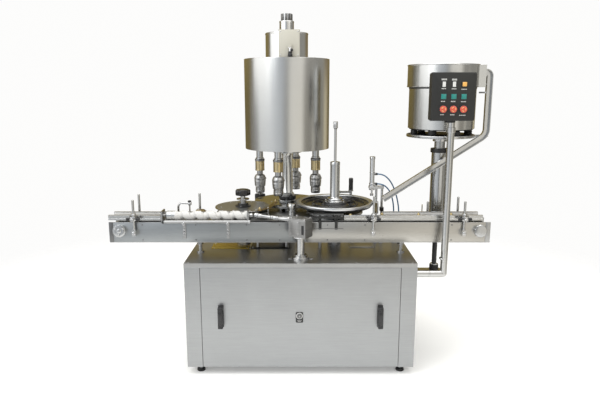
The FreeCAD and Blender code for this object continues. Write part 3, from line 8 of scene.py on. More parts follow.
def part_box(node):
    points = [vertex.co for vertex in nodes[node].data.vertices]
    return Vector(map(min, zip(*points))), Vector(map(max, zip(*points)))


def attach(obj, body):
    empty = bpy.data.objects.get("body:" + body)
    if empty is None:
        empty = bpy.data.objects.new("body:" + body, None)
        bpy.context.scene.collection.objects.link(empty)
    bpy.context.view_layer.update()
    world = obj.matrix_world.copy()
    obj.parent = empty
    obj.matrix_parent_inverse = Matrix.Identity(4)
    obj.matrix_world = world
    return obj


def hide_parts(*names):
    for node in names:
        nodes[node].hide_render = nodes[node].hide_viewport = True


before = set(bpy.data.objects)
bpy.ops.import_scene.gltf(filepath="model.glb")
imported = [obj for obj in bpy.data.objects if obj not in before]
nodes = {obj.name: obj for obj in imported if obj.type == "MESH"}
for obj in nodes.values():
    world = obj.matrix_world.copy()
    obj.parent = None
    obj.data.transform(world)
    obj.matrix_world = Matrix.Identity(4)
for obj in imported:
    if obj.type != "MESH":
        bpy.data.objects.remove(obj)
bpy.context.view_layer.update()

MM = 0.001
# axes seen from above, heights and directions, in millimetres in the CAD frame
CONV_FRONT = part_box("conveyor_bearings")[0].y / MM + 14
TURRET = (-82, 150)
INFEED = (-340, -69.96)
OUTFEED = (203, -56.85)
BOWL = (812, -50)
BUFFER = (-267, 310)
WORKTOP = 643
SHAFT_Z = 783
KEY_COLUMNS = (732, 784, 836)
LAMP_ROW, KEY_ROW, STOP_ROW = 1579, 1517, 1453
BACKWARD, DOWN = Vector((0, 1, 0)), Vector((0, 0, -1))
HEADS = {"b": (-132.5, -24.9, 1073), "d": (92.9, 99.5, 1068), "c": (-31.5, 324.9, 1051),
         "a": (-256.9, 200.5, 1051)}


# ---- camera and hoses ----

def make_camera():
    """A level-held camera at eye height in front of the machine, tilted down a little."""
    data = bpy.data.cameras.new("camera")
    data.lens = 32.9
    data.sensor_width = 36
    data.clip_start, data.clip_end = 0.05, 100
    camera = bpy.data.objects.new("camera", data)
    camera.location = (-0.003, -3.249, 1.548)
    camera.rotation_euler = (math.radians(90 - 11.3), 0, 0)
    bpy.context.scene.collection.objects.link(camera)
    bpy.context.scene.camera = camera


def hose(name, points, node):
    """An air hose as one smooth spline through the route's control points."""
    curve = bpy.data.curves.new(name, "CURVE")
    curve.dimensions = "3D"
    curve.bevel_depth = 1.0
    curve.bevel_resolution = 5
    curve.resolution_u = 16
    curve.use_fill_caps = True
    spline = curve.splines.new("NURBS")
    spline.points.add(len(points) - 1)
    for point, place in zip(spline.points, points):
        point.co = (place[0] * MM, place[1] * MM, place[2] * MM, 1)
        # a point's radius scales the bevel and also counts in the curve's box, so it carries the hose's 4 mm
        point.radius = 4 * MM
    spline.order_u = 3
    spline.use_endpoint_u = True
    item = bpy.data.objects.new(name, curve)
    bpy.context.scene.collection.objects.link(item)
    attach(item, "machine_base")
    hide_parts(node)
    return item


make_camera()
hoses = [
    hose("upper_air_hose", [(451, -30, 1062), (488, -30, 1062), (530, -24, 1027), (559, -16, 978),
                            (579, -12, 920), (592, -10, 860), (596, -10, 795), (592, -10, 725),
                            (592, -10, 655)], "air_hose_upper"),
    hose("lower_air_hose", [(451, -30, 1003), (486, -30, 1003), (526, -27, 972), (549, -22, 922),
                            (560, -19, 868), (563, -18, 810), (562, -17, 755), (566, -16, 705),
                            (566, -16, 655)], "air_hose_lower")]


# ---- materials ----

class Nodes:
    """Makes and joins the nodes of one material or of the world."""

    def __init__(self, tree):
        self.tree, self.join = tree, tree.links.new

    def node(self, kind, **values):
        """A node whose inputs or settings have these values."""
        item = self.tree.nodes.new(kind)
        for key, value in values.items():
            if key in item.inputs:
                item.inputs[key].default_value = value
            else:
                setattr(item, key, value)
        return item

    def scaled(self, source, low, high, side="To", **values):
        """A value spread to the range from low to high or, with side From, taken out of it."""
        item = self.node("ShaderNodeMapRange", **{side + " Min": low, side + " Max": high}, **values)
        self.join(source, item.inputs["Value"])
        return item.outputs["Result"]

    def mixed(self, share, one, two, blend="MIX"):
        """Two colours mixed by a share; each may be a value or another node's output."""
        item = self.node("ShaderNodeMix", data_type="RGBA", blend_type=blend)
        for socket, value in ((item.inputs[0], share), (item.inputs[6], one), (item.inputs[7], two)):
            if isinstance(value, bpy.types.NodeSocket):
                self.join(value, socket)
            else:
                socket.default_value = value
        return item.outputs[2]


def surface(name, colour, metallic=1.0, rough=0.3, grain=(10, 10, 300), streak=0.06, cloud=0.08, bump=0.12,
            worn=None, wear=0.35, edge=1.2, coat=0.0, uneven=0.05, spots=0.0):
    """A finish from nodes: brushed or moulded grain, slow colour drift, rounded and worn edges."""
    material = bpy.data.materials.new(name)
    material.use_nodes = True
    shader = material.node_tree.nodes["Principled BSDF"]
    web = Nodes(material.node_tree)
    join, node, scaled, mixed = web.join, web.node, web.scaled, web.mixed

    places = node("ShaderNodeTexCoord").outputs["Object"]
    stretch = node("ShaderNodeMapping", Scale=grain)
    join(places, stretch.inputs["Vector"])
    lines = node("ShaderNodeTexNoise", Scale=1.0, Detail=6.0, Roughness=0.65)
    join(stretch.outputs["Vector"], lines.inputs["Vector"])
    drift = node("ShaderNodeTexNoise", Scale=5.5, Detail=5.0, Roughness=0.55, Distortion=0.4)
    join(places, drift.inputs["Vector"])
    smudge = node("ShaderNodeTexNoise", Scale=31.0, Detail=3.0)
    join(places, smudge.inputs["Vector"])

    flat = node("ShaderNodeNewGeometry").outputs["Normal"]
    rounded = node("ShaderNodeBevel", samples=6, Radius=edge * MM)
    facing = node("ShaderNodeVectorMath", operation="DOT_PRODUCT")
    join(rounded.outputs["Normal"], facing.inputs[0])
    join(flat, facing.inputs[1])
    rim = scaled(facing.outputs["Value"], 0.995, 0.8, "From")
    patchy = node("ShaderNodeMath", operation="MULTIPLY")
    join(rim, patchy.inputs[0])
    join(scaled(smudge.outputs["Fac"], wear * 0.3, wear * 1.7), patchy.inputs[1])

    base = (*colour, 1)
    dark = (*[value * (1 - 2.2 * cloud) for value in colour], 1)
    light = (*[min(1, value * (1 + 1.6 * cloud)) for value in colour], 1)
    slow = mixed(drift.outputs["Fac"], dark, light)
    toned = mixed(0.5, slow, base)
    low, high = 1 - 2.5 * streak, 1 + 1.2 * streak
    shade = scaled(lines.outputs["Fac"], low, high)
    grey = node("ShaderNodeCombineColor")
    for socket in grey.inputs[:3]:
        join(shade, socket)
    brushed = mixed(1.0, toned, grey.outputs[0], "MULTIPLY")
    if spots:
        pits = node("ShaderNodeTexVoronoi", Scale=90.0)
        join(places, pits.inputs["Vector"])
        dots = scaled(pits.outputs["Distance"], 0.16, 0.05, "From", **{"To Max": spots})
        brushed = mixed(dots, brushed, (*[value * 0.45 for value in colour], 1))
    worn = worn or tuple(min(1, value * 1.35 + 0.03) for value in colour)
    join(mixed(patchy.outputs["Value"], brushed, (*worn, 1)), shader.inputs["Base Color"])

    gloss = node("ShaderNodeMath", operation="ADD", use_clamp=True)
    join(scaled(lines.outputs["Fac"], rough - uneven, rough + uneven), gloss.inputs[0])
    join(scaled(smudge.outputs["Fac"], -uneven, uneven), gloss.inputs[1])
    join(gloss.outputs["Value"], shader.inputs["Roughness"])
    relief = node("ShaderNodeBump", Strength=bump, Distance=0.06 * MM)
    join(lines.outputs["Fac"], relief.inputs["Height"])
    if edge:
        join(rounded.outputs["Normal"], relief.inputs["Normal"])
    join(relief.outputs["Normal"], shader.inputs["Normal"])
    shader.inputs["Metallic"].default_value = metallic
    if coat:
        shader.inputs["Coat Weight"].default_value = coat
        shader.inputs["Coat Roughness"].default_value = 0.12
    return material


LEVEL = (8, 8, 330)
ALONG = (7, 300, 300)
FINE = (420, 420, 420)


def plastic(name, colour, **looks):
    """A fine-grained finish without metal: moulded plastic, rubber or print."""
    return surface(name, colour, metallic=0, grain=FINE, **looks)


steel = surface("satin_steel", (0.40, 0.405, 0.405), rough=0.36, grain=LEVEL, streak=0.05, bump=0.10)
sheet = surface("brushed_sheet", (0.385, 0.392, 0.396), rough=0.38, grain=LEVEL, streak=0.07, cloud=0.05,
                bump=0.14)
plate = surface("brushed_plate", (0.43, 0.43, 0.425), rough=0.33, grain=ALONG, streak=0.06, cloud=0.10,
                spots=0.25)
drum_steel = surface("drum_steel", (0.60, 0.60, 0.585), rough=0.22, grain=(6, 6, 260), streak=0.02,
                     cloud=0.03, bump=0.03, edge=0, uneven=0.02)
chuck_steel = surface("chuck_steel", (0.40, 0.40, 0.395), rough=0.3, grain=FINE, streak=0.05, cloud=0.08,
                      bump=0.06, edge=0, uneven=0.04)
rod_steel = surface("rod_steel", (0.50, 0.505, 0.505), rough=0.2, grain=LEVEL, streak=0.03, cloud=0.05,
                    bump=0.04, edge=0, uneven=0.03)
bright = surface("bright_steel", (0.56, 0.56, 0.55), rough=0.2, grain=LEVEL, streak=0.04, bump=0.06)
chrome = surface("chrome", (0.56, 0.56, 0.56), rough=0.14, grain=FINE, streak=0.03, cloud=0.04, bump=0.02,
                 uneven=0.02)
dark_steel = surface("dark_steel", (0.20, 0.20, 0.20), rough=0.32, grain=LEVEL, streak=0.08)
cast = surface("cast_grey", (0.30, 0.297, 0.29), rough=0.42, grain=(160, 160, 160), streak=0.05, bump=0.25,
               spots=0.15)
gear_steel = surface("gear_steel", (0.30, 0.30, 0.31), rough=0.4, grain=FINE, streak=0.1, bump=0.2)
# painted light: one stainless sheet in two copies, the left one darker and cooler and the right one lighter
# and warmer, standing in for the room's cool and warm reflections
shaded_cool_sheet = surface("conveyor_sheet_left_painted_shade", (0.335, 0.35, 0.357), rough=0.38, grain=ALONG, streak=0.07,
                     cloud=0.10, spots=0.25)
lit_warm_sheet = surface("conveyor_sheet_right_painted_light", (0.50, 0.485, 0.45), rough=0.3, grain=ALONG, streak=0.05,
                     cloud=0.07, spots=0.15)
aluminium = surface("aluminium", (0.62, 0.63, 0.64), rough=0.3, grain=LEVEL, streak=0.04)
brass = surface("brass", (0.60, 0.49, 0.28), rough=0.17, grain=FINE, streak=0.07, cloud=0.12, bump=0.05)
bronze = surface("bronze", (0.30, 0.22, 0.10), rough=0.3, grain=FINE, streak=0.1, cloud=0.15)
black = plastic("black_plastic", (0.014, 0.014, 0.015), rough=0.38, streak=0.2, cloud=0.1,
                bump=0.25, worn=(0.09, 0.09, 0.09), wear=0.4)
gloss_black = plastic("black_gloss", (0.010, 0.010, 0.011), rough=0.2, streak=0.1, bump=0.03,
                      worn=(0.10, 0.10, 0.10), coat=0.15)
face_black = plastic("panel_black", (0.017, 0.017, 0.016), rough=0.45, streak=0.15, bump=0.2,
                     worn=(0.08, 0.08, 0.08))
rubber = plastic("rubber", (0.012, 0.012, 0.012), rough=0.72, streak=0.25, bump=0.5,
                 worn=(0.05, 0.05, 0.05))
cream = surface("cream_paint", (0.52, 0.50, 0.43), metallic=0, rough=0.4, grain=(240, 240, 240), streak=0.03,
                cloud=0.05, bump=0.2, worn=(0.75, 0.73, 0.66), coat=0.2)
grey_paint = surface("grey_paint", (0.23, 0.25, 0.27), metallic=0, rough=0.42, grain=(240, 240, 240),
                     streak=0.04, bump=0.3, coat=0.2)
worm_white = surface("white_nylon", (0.62, 0.61, 0.59), metallic=0, rough=0.45, grain=(300, 40, 40),
                     streak=0.04, cloud=0.06, bump=0.12, worn=(0.82, 0.82, 0.8))
print_white = plastic("print_white", (0.60, 0.60, 0.58), rough=0.5, streak=0.2, edge=0.2)
switch_white = plastic("switch_white", (0.72, 0.72, 0.70), rough=0.3, streak=0.05, edge=0.4)
teal = plastic("teal_plastic", (0.012, 0.23, 0.20), rough=0.28, streak=0.1, edge=0.8, coat=0.4,
               worn=(0.06, 0.40, 0.36))
red = plastic("red_plastic", (0.66, 0.095, 0.055), rough=0.26, streak=0.08, edge=0.8, coat=0.4,
              worn=(0.8, 0.2, 0.12))
label_yellow = plastic("label_yellow", (0.75, 0.55, 0.20), rough=0.5, streak=0.1, edge=0.2)
# painted reflection: the polished cover's brown sheen from the room is put into its colour as amber, at half
# metal
amber_painted_reflection_sheet = surface("amber_painted_reflection_sheet", (0.52, 0.37, 0.045), metallic=0.5, rough=0.3, grain=ALONG, streak=0.06,
                      cloud=0.15)
orange = plastic("amber_lens", (0.83, 0.44, 0.10), rough=0.3, streak=0.08, edge=0.6, coat=0.4)
hose_blue = plastic("hose_blue", (0.055, 0.14, 0.25), rough=0.25, streak=0.06, edge=0.5,
                    coat=0.5, worn=(0.1, 0.22, 0.36))

for item in hoses:
    item.data.materials.append(hose_blue)

CAD_FINISHES = {
    sheet: "cabinet front_cover", plate: "worktop conveyor_frame screw_tray",
    drum_steel: "cam_drum drum_top bowl", cream: "junction_box", black: "levelling_feet front_handles",
    chrome: "drive_roller idler_roller cardan_shaft adjuster_rod cylinder_rod",
    bright: "conveyor_bearings guide_posts left_guide_rail right_guide_rail chute control_post gearbox_post",
    steel: "feeder_mast center_column infeed_star outfeed_star cap_dial guard_lever",
    rod_steel: "feeder_column turret_rotor spindle_a spindle_b spindle_c spindle_d",
    dark_steel: "conveyor_chain front_lock", cast: "angle_gearbox", aluminium: "air_cylinder",
    gear_steel: "drive_pinion", face_black: "control_panel black_guide_rail hand_knob",
    grey_paint: "reducer drive_motor", teal: "push_button_1 push_button_2 push_button_3",
    red: "stop_button_1 stop_button_2 stop_button_3", worm_white: "timing_screw",
    switch_white: "rocker_switch_1 rocker_switch_2", chuck_steel: "chuck_a chuck_b chuck_c chuck_d",
}
for finish, names in CAD_FINISHES.items():
    for name in names.split():
        nodes[name].data.materials.clear()
        nodes[name].data.materials.append(finish)


# ---- mesh building ----

class Piece:
    """Collects turned, boxed, extruded and swept shapes, in millimetres, into one object of the model."""

    def __init__(self, name, body, slot, *finishes):
        self.name, self.body, self.slot, self.finishes = name, body, slot, finishes
        self.mesh = bmesh.new()

    def turned(self, profile, at=(0, 0, 0), way="Z", steps=48, finish=0, turn=0.0, closed=True):
        """Turn (radius, height) pairs round an axis; a profile off the axis closes into a ring."""
        bases = {"Z": Matrix.Identity(3), "X": Matrix(((0, 0, 1), (1, 0, 0), (0, 1, 0))),
                 "Y": Matrix(((1, 0, 0), (0, 0, -1), (0, 1, 0)))}
        base = bases[way] if isinstance(way, str) else way.to_track_quat("Z", "X").to_matrix()
        origin = Vector(at)
        rings = []
        for radius, height in profile:
            count = 1 if radius == 0 else steps
            ring = []
            for index in range(count):
                angle = turn + 2 * math.pi * index / steps
                spot = origin + base @ Vector((radius * math.cos(angle), radius * math.sin(angle), height))
                ring.append(self.mesh.verts.new(spot * MM))
            rings.append(ring)
        if closed and len(rings[0]) > 1 and len(rings[-1]) > 1:
            rings.append(rings[0])
        for low, high in zip(rings, rings[1:]):
            for index in range(steps):
                after = (index + 1) % steps
                corners = [low[index % len(low)], low[after % len(low)], high[after % len(high)],
                           high[index % len(high)]]
                corners = list(dict.fromkeys(corners))
                if len(corners) > 2:
                    self.mesh.faces.new(corners).material_index = finish
        return self

    def block(self, low, high, edge=1.0, finish=0, turn=0.0, about=None, segments=2):
        """A box between two corners with rounded edges, turned about an upright axis if asked."""
        low, high = Vector(low) * MM, Vector(high) * MM
        centre, size = (low + high) / 2, high - low
        pivot = Vector(about) * MM if about else centre
        spin = Matrix.Translation(pivot) @ Matrix.Rotation(turn, 4, "Z") @ Matrix.Translation(-pivot)
        place = spin @ Matrix.Translation(centre) @ Matrix.Diagonal((*size, 1))
        made = bmesh.ops.create_cube(self.mesh, size=1, matrix=place)
        return self.soften(made["verts"], edge, finish, segments)

    def soften(self, verts, edge, finish, segments=2):
        """Round the edges of the shape these corners belong to."""
        faces = {face for vert in verts for face in vert.link_faces}
        for face in faces:
            face.material_index = finish
        if edge > 0:
            edges = list({line for vert in verts for line in vert.link_edges})
            sharp = [line for line in edges if len(line.link_faces) == 2 and line.calc_face_angle() > 0.5]
            bmesh.ops.bevel(self.mesh, geom=sharp, offset=edge * MM, segments=segments, affect="EDGES",
                            profile=0.5, clamp_overlap=True, material=finish)
        return self

    def slab(self, points, low, high, edge=0.5, finish=0, plane="XY"):
        """An outline in a plane, drawn out from low to high along the third axis."""
        order = {"XY": lambda a, b, c: (a, b, c), "XZ": lambda a, b, c: (a, c, b),
                 "YZ": lambda a, b, c: (c, a, b)}[plane]
        bottom = [self.mesh.verts.new(Vector(order(a, b, low)) * MM) for a, b in points]
        top = [self.mesh.verts.new(Vector(order(a, b, high)) * MM) for a, b in points]
        faces = [self.mesh.faces.new(bottom), self.mesh.faces.new(list(reversed(top)))]
        for index in range(len(points)):
            after = (index + 1) % len(points)
            faces.append(self.mesh.faces.new([bottom[after], bottom[index], top[index], top[after]]))
        bmesh.ops.recalc_face_normals(self.mesh, faces=faces)
        return self.soften(bottom + top, edge, finish)

    def tube(self, points, radius, finish=0, steps=16, bend=0.0, flat=1.0):
        """Sweep a round section along points, with the corners eased by the bend radius."""
        path = eased([Vector(point) for point in points], bend)
        side = None
        rings = []
        for index, spot in enumerate(path):
            before = path[max(index - 1, 0)]
            after = path[min(index + 1, len(path) - 1)]
            ahead = (after - before).normalized()
            if side is None:
                side = ahead.orthogonal().normalized()
            side = (side - ahead * side.dot(ahead)).normalized()
            other = ahead.cross(side)
            ring = []
            for count in range(steps):
                angle = 2 * math.pi * count / steps
                out = side * math.cos(angle) * radius + other * math.sin(angle) * radius * flat
                ring.append(self.mesh.verts.new((spot + out) * MM))
            rings.append(ring)
        for low, high in zip(rings, rings[1:]):
            for index in range(steps):
                after = (index + 1) % steps
                face = self.mesh.faces.new([low[index], low[after], high[after], high[index]])
                face.material_index = finish
        self.mesh.faces.new(list(reversed(rings[0]))).material_index = finish
        self.mesh.faces.new(rings[-1]).material_index = finish
        return self

    def bolt(self, at, way="Z", size=6.0, finish=0, kind="hex", washer=True):
        """A hexagon, socket or pan head on its washer, standing on a face at a point."""
        rise = 0.0
        if washer:
            self.turned([(0, 0), (size * 1.15, 0), (size * 1.2, size * 0.06), (size * 1.2, size * 0.16),
                         (size * 1.12, size * 0.22), (0, size * 0.22)], at, way, 24, finish)
            rise = size * 0.22
        if kind == "hex":
            self.turned([(0, rise), (size, rise), (size, rise + size * 0.6),
                         (size * 0.86, rise + size * 0.72), (0, rise + size * 0.72)], at, way, 6, finish,
                        turn=0.3)
        elif kind == "socket":
            self.turned([(0, rise), (size * 0.84, rise), (size * 0.84, rise + size * 0.8),
                         (size * 0.76, rise + size * 0.9), (size * 0.42, rise + size * 0.9),
                         (size * 0.40, rise + size * 0.45), (0, rise + size * 0.42)], at, way, 24, finish)
        else:
            self.turned([(0, rise), (size, rise), (size * 0.92, rise + size * 0.25),
                         (size * 0.55, rise + size * 0.45), (size * 0.2, rise + size * 0.48),
                         (size * 0.14, rise + size * 0.3), (0, rise + size * 0.3)], at, way, 24, finish)
        return self

    def screw(self, at, way="Z", size=6.0, finish=0, kind="socket"):
        """A socket or pan head that sits straight on a face, without a washer."""
        return self.bolt(at, way, size, finish, kind, washer=False)

    def done(self, *hides, smooth=32):
        """Make the object, ride it on its body and say which CAD nodes it stands for."""
        bmesh.ops.remove_doubles(self.mesh, verts=self.mesh.verts, dist=1e-6)
        bmesh.ops.recalc_face_normals(self.mesh, faces=self.mesh.faces)
        data = bpy.data.meshes.new(self.name)
        self.mesh.to_mesh(data)
        self.mesh.free()
        for finish in self.finishes:
            data.materials.append(finish)
        data.shade_smooth()
        data.set_sharp_from_angle(angle=math.radians(smooth))
        item = bpy.data.objects.new(self.name, data)
        bpy.context.scene.collection.objects.link(item)
        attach(item, self.body)
        if hides:
            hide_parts(*hides)
        return item


def eased(points, bend):
    """Points of a bent rod's line, with an arc of the bend radius at each corner."""
    if not bend:
        return points
    path = [points[0]]
    for before, corner, after in zip(points, points[1:], points[2:]):
        back, ahead = (before - corner).normalized(), (after - corner).normalized()
        half = back.angle(ahead) / 2
        reach = min(bend / math.tan(half), 0.48 * min((before - corner).length, (after - corner).length))
        start, end = corner + back * reach, corner + ahead * reach
        for step in range(7):
            share = step / 6
            path.append(start.lerp(corner, share).lerp(corner.lerp(end, share), share))
    path.append(points[-1])
    return path


def ring_of(count, radius, x, y, start=0.0):
    """Evenly spaced points on a circle."""
    return [(x + radius * math.cos(start + 2 * math.pi * index / count),
             y + radius * math.sin(start + 2 * math.pi * index / count)) for index in range(count)]


# ---- conveyor ----

def make_chain():
    """Flat-top chain: a plate for each link on the run's loop, with hinge eyes below."""
    chain = Piece("slat_chain", "machine_base", "dark_stainless", plate, dark_steel)
    low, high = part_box("conveyor_chain")
    left, right = low.x / MM + 52, high.x / MM - 52
    middle, radius = (low.z + high.z) / 2 / MM, 51.9
    y_low, y_high = low.y / MM + 0.3, high.y / MM - 0.3
    straight = right - left
    length = 2 * straight + 2 * math.pi * radius
    links = round(length / 38.1)
    pitch = length / links

    def spot(along):
        """Place and outward direction on the loop's outer line."""
        along %= length
        if along < straight:
            return Vector((left + along, 0, middle + radius)), Vector((0, 0, 1))
        along -= straight
        if along < math.pi * radius:
            angle = along / radius
            out = Vector((math.sin(angle), 0, math.cos(angle)))
            return Vector((right, 0, middle)) + out * radius, out
        along -= math.pi * radius
        if along < straight:
            return Vector((right - along, 0, middle - radius)), Vector((0, 0, -1))
        angle = (along - straight) / radius
        out = Vector((-math.sin(angle), 0, -math.cos(angle)))
        return Vector((left, 0, middle)) + out * radius, out

    for index in range(links):
        (one, out_one), (two, out_two) = spot(index * pitch + 0.9), spot((index + 1) * pitch - 0.9)
        corners = []
        for place, out in ((one, out_one), (two, out_two)):
            for y in (y_low, y_high):
                for depth in (0, 3.2):
                    spot_in = place - out * depth
                    corners.append(chain.mesh.verts.new(Vector((spot_in.x, y, spot_in.z)) * MM))
        a, b, c, d, e, f, g, h = corners
        for face in ((a, c, g, e), (b, f, h, d), (a, b, d, c), (e, g, h, f), (a, e, f, b), (c, d, h, g)):
            chain.mesh.faces.new(face).material_index = 0
        centre = (one + two) / 2 - (out_one + out_two) / 2 * 4.0
        for y in (y_low + 20, (y_low + y_high) / 2, y_high - 20):
            chain.turned([(0, -6), (2.6, -6), (2.6, 6), (0, 6)], (centre.x, y, centre.z), "Y", 8, 1)
    chain.done("conveyor_chain")


def make_conveyor_trim():
    """Screws, bearing flanges, rod ends, leg nuts, side sheets and end folds of the conveyor."""
    trim = Piece("conveyor_fasteners", "machine_base", "chrome", chrome, dark_steel, rod_steel)
    for x in (-880, -583, -300, -117, 150, 358, 841):
        for z in (729, 815):
            trim.screw((x, CONV_FRONT - 1.3, z), "Y", 4.2, 1, kind="pan")
            trim.screw((x, -165.7, z), BACKWARD, 4.2, 1, kind="pan")
    # left bearing: a flange held by three screws round the shaft's end
    trim.turned([(0, 0), (30, 0), (33, 1.2), (33, 2.2), (31, 3), (20, 3), (19, 2.0), (13, 2.0), (12, 5),
                 (9, 6.5), (0, 6.5)], (-1007, -300.8, SHAFT_Z), "Y", 64, 2)
    for x, z in ring_of(3, 25, -1007, SHAFT_Z, 0.5):
        trim.bolt((x, -303.6, z), "Y", 4.4, kind="socket")
    # right bearing: a smooth domed cap
    trim.turned([(0, 0), (33, 0), (35.5, 1), (35.5, 3), (33, 6.5), (26, 8.2), (0, 9)], (999, -300.8, SHAFT_Z),
                "Y", 64, 2)
    # foot blocks of the guide rods: pinch screw and its ring
    for x in (-922, 404, 905):
        trim.turned([(0, 0), (9, 0), (10, 1.5), (10, 4), (7, 6), (0, 6)], (x, -312.8, 773), "Y", 32)
        trim.screw((x, -318.6, 773), "Y", 4.6)
        trim.turned([(6.6, 0), (9.4, 0.4), (9.4, 6.4), (6.6, 7)], (x, -300, 790.2), "Z", 32)
    for x in (-930, -580, 734, 908):
        trim.turned([(6.6, 0), (9.4, 0.4), (9.4, 6.4), (6.6, 7)], (x, -154, 790.2), "Z", 32)
        trim.bolt((x, -140.8, 773), BACKWARD, 4.6, kind="socket")
    # rounded ends of the guide rods
    for x, y, top in ((-922, -300, 957), (404, -300, 978), (905, -300, 949), (-930, -154, 962),
                      (-580, -154, 968), (734, -154, 918), (908, -154, 946)):
        trim.turned([(6.5, -1.6), (6.62, -1.4), (6.2, 0.3), (5.0, 1.3), (0, 1.6)], (x, y, top), "Z", 24)
    # slot screws of the tray's legs
    for x in (-646, -403):
        for z in (768, 787):
            trim.bolt((x, -293.1, z), "Y", 4.6)
        trim.turned([(0, 0), (7, 0), (8.5, 1.5), (8.5, 5), (6, 7), (0, 7.4)], (x, -305, 826), "Y", 32)
    # leg nuts on the worktop
    for x in (-572, 572):
        trim.turned([(10.2, 0), (19, 0), (19, 2.4), (10.2, 2.6)], (x, -227, 690), "Z", 32)
        trim.turned([(10.2, 2.6), (17, 2.8), (17, 11), (15, 12.5), (10.2, 12.5)], (x, -227, 690), "Z", 6)
    trim.done()
    # the left side sheet takes the painted shaded copy of the steel and the right one the painted lit copy
    for name, low, high, finish in (("left", -1042, 30, shaded_cool_sheet), ("right", 31, 1031, lit_warm_sheet)):
        side = Piece("conveyor_side_" + name, "machine_base", "stainless", finish, dark_steel)
        for front, back in ((-288.4, -286.8), (-167.2, -165.6)):
            side.block((low, front, 716), (high, back, 829), 0.6)
        side.done()
    ends = Piece("conveyor_end_folds", "machine_base", "dark_stainless", dark_steel, plate)
    ends.block((-1065.6, -289.4, 716), (-1042, -287.1, 831), 0.6)
    ends.block((1031, -289.4, 716), (1056.6, -287.1, 831), 0.6, 1)
    ends.block((1029.5, -289.0, 718), (1031.5, -287.1, 829), 0.3)
    ends.block((-1060, -289.2, 715.4), (1052, -287.1, 718.2), 0.5, 1)
    ends.done()


def make_rail_clamps():
    """Black wing knobs and bright cross blocks where the front rails are held on their rods."""
    for body, places in (("left_guide", (-922,)), ("right_guide", (404, 905))):
        clamp = Piece(body + "_clamp", body, "black_plastic", black, chrome)
        for x in places:
            for side in (-1, 1):
                out = Vector((side, 0, -0.25)).normalized()
                clamp.turned([(0, 0), (5, 0), (6.5, 3), (9.5, 13), (10.5, 20), (8.5, 24), (0, 25)],
                             (x + side * 13, -312, 856), out, 20, 0)
                clamp.turned([(0, 0), (4, 0), (4, 9), (0, 9)], (x + side * 8, -308, 857.5), out, 16, 1)
            clamp.turned([(6.62, -7), (12, -7), (13.5, -5), (13.5, 5), (12, 7), (6.62, 7)], (x, -300, 875.4),
                         "Z", 32, 1)
            clamp.turned([(0, 0), (8, 0), (9, 2), (9, 7), (7, 9), (0, 9.4)], (x, -332.8, 854), "Y", 24, 1)
            clamp.block((x - 14.6, -315.8, 842.5), (x + 14.6, -285, 866), 2.6, 1)
        clamp.done()
    for body, low, high in (("left_guide", -1066, -782), ("right_guide", 246, 1011)):
        strip = Piece(body + "_strip", body, "white_plastic", worm_white, chrome)
        strip.block((low, -267.2, 846), (high, -265.2, 862), 0.7)
        strip.block((low - 1, -281.6, 864.6), (high + 1, -280.4, 868.2), 0.3, 1)
        strip.done()


def make_rear_rail_trim():
    """Strips of the rear rails, the gooseneck rod with its clamp, and a sensor rod."""
    rear = Piece("rear_rail_strips", "machine_base", "white_plastic", worm_white, chrome)
    for low, high in ((-1063, -542), (472, 1012)):
        rear.block((low, -194, 848), (high, -191.8, 864), 0.7)
        rear.block((low, -193.2, 865.6), (high, -181, 868.8), 0.4, 1)
    rear.done()
    # bent gooseneck rod with its end knob, and the bronze clamp further right
    hook = Piece("gooseneck_rod", "machine_base", "chrome", chrome, black, bronze)
    hook.tube([(-706, -150, 790), (-706, -150, 912), (-636, -150, 908)], 6, 0, 16, bend=26)
    hook.turned([(0, 0), (8.5, 0), (9.5, 2), (9.5, 14), (8.5, 16), (0, 16)], (-646, -150, 908.6), "X", 28)
    hook.turned([(0, -10), (7, -10), (8, -8), (8, 9), (10.5, 11), (10.5, 15), (7, 18), (0, 18)],
                (-640, -150, 908), "Z", 24, 1)
    hook.tube([(-640, -150, 902), (-640, -150, 858)], 4, 0, 12)
    hook.block((-717, -165, 788), (-695, -140, 806), 1.5)
    hook.slab([(-612, 862), (-598, 876), (-560, 876), (-540, 864), (-536, 858), (-612, 858)], -176, -146, 2.0,
              2, "XZ")
    hook.tube([(-546, -160, 868), (-522, -184, 846)], 2.2, 0, 10)
    hook.bolt((-590, -160, 876), "Z", 5)
    hook.done()
    rods = Piece("sensor_rods", "machine_base", "chrome", brass, chrome)
    rods.tube([(700, -160, 836), (700, -160, 905)], 3.0, 0, 10)
    rods.turned([(0, 0), (7, 0), (8, 1.5), (8, 9), (6.5, 11), (0, 11)], (700, -160, 836), "Z", 6, 1)
    rods.done()


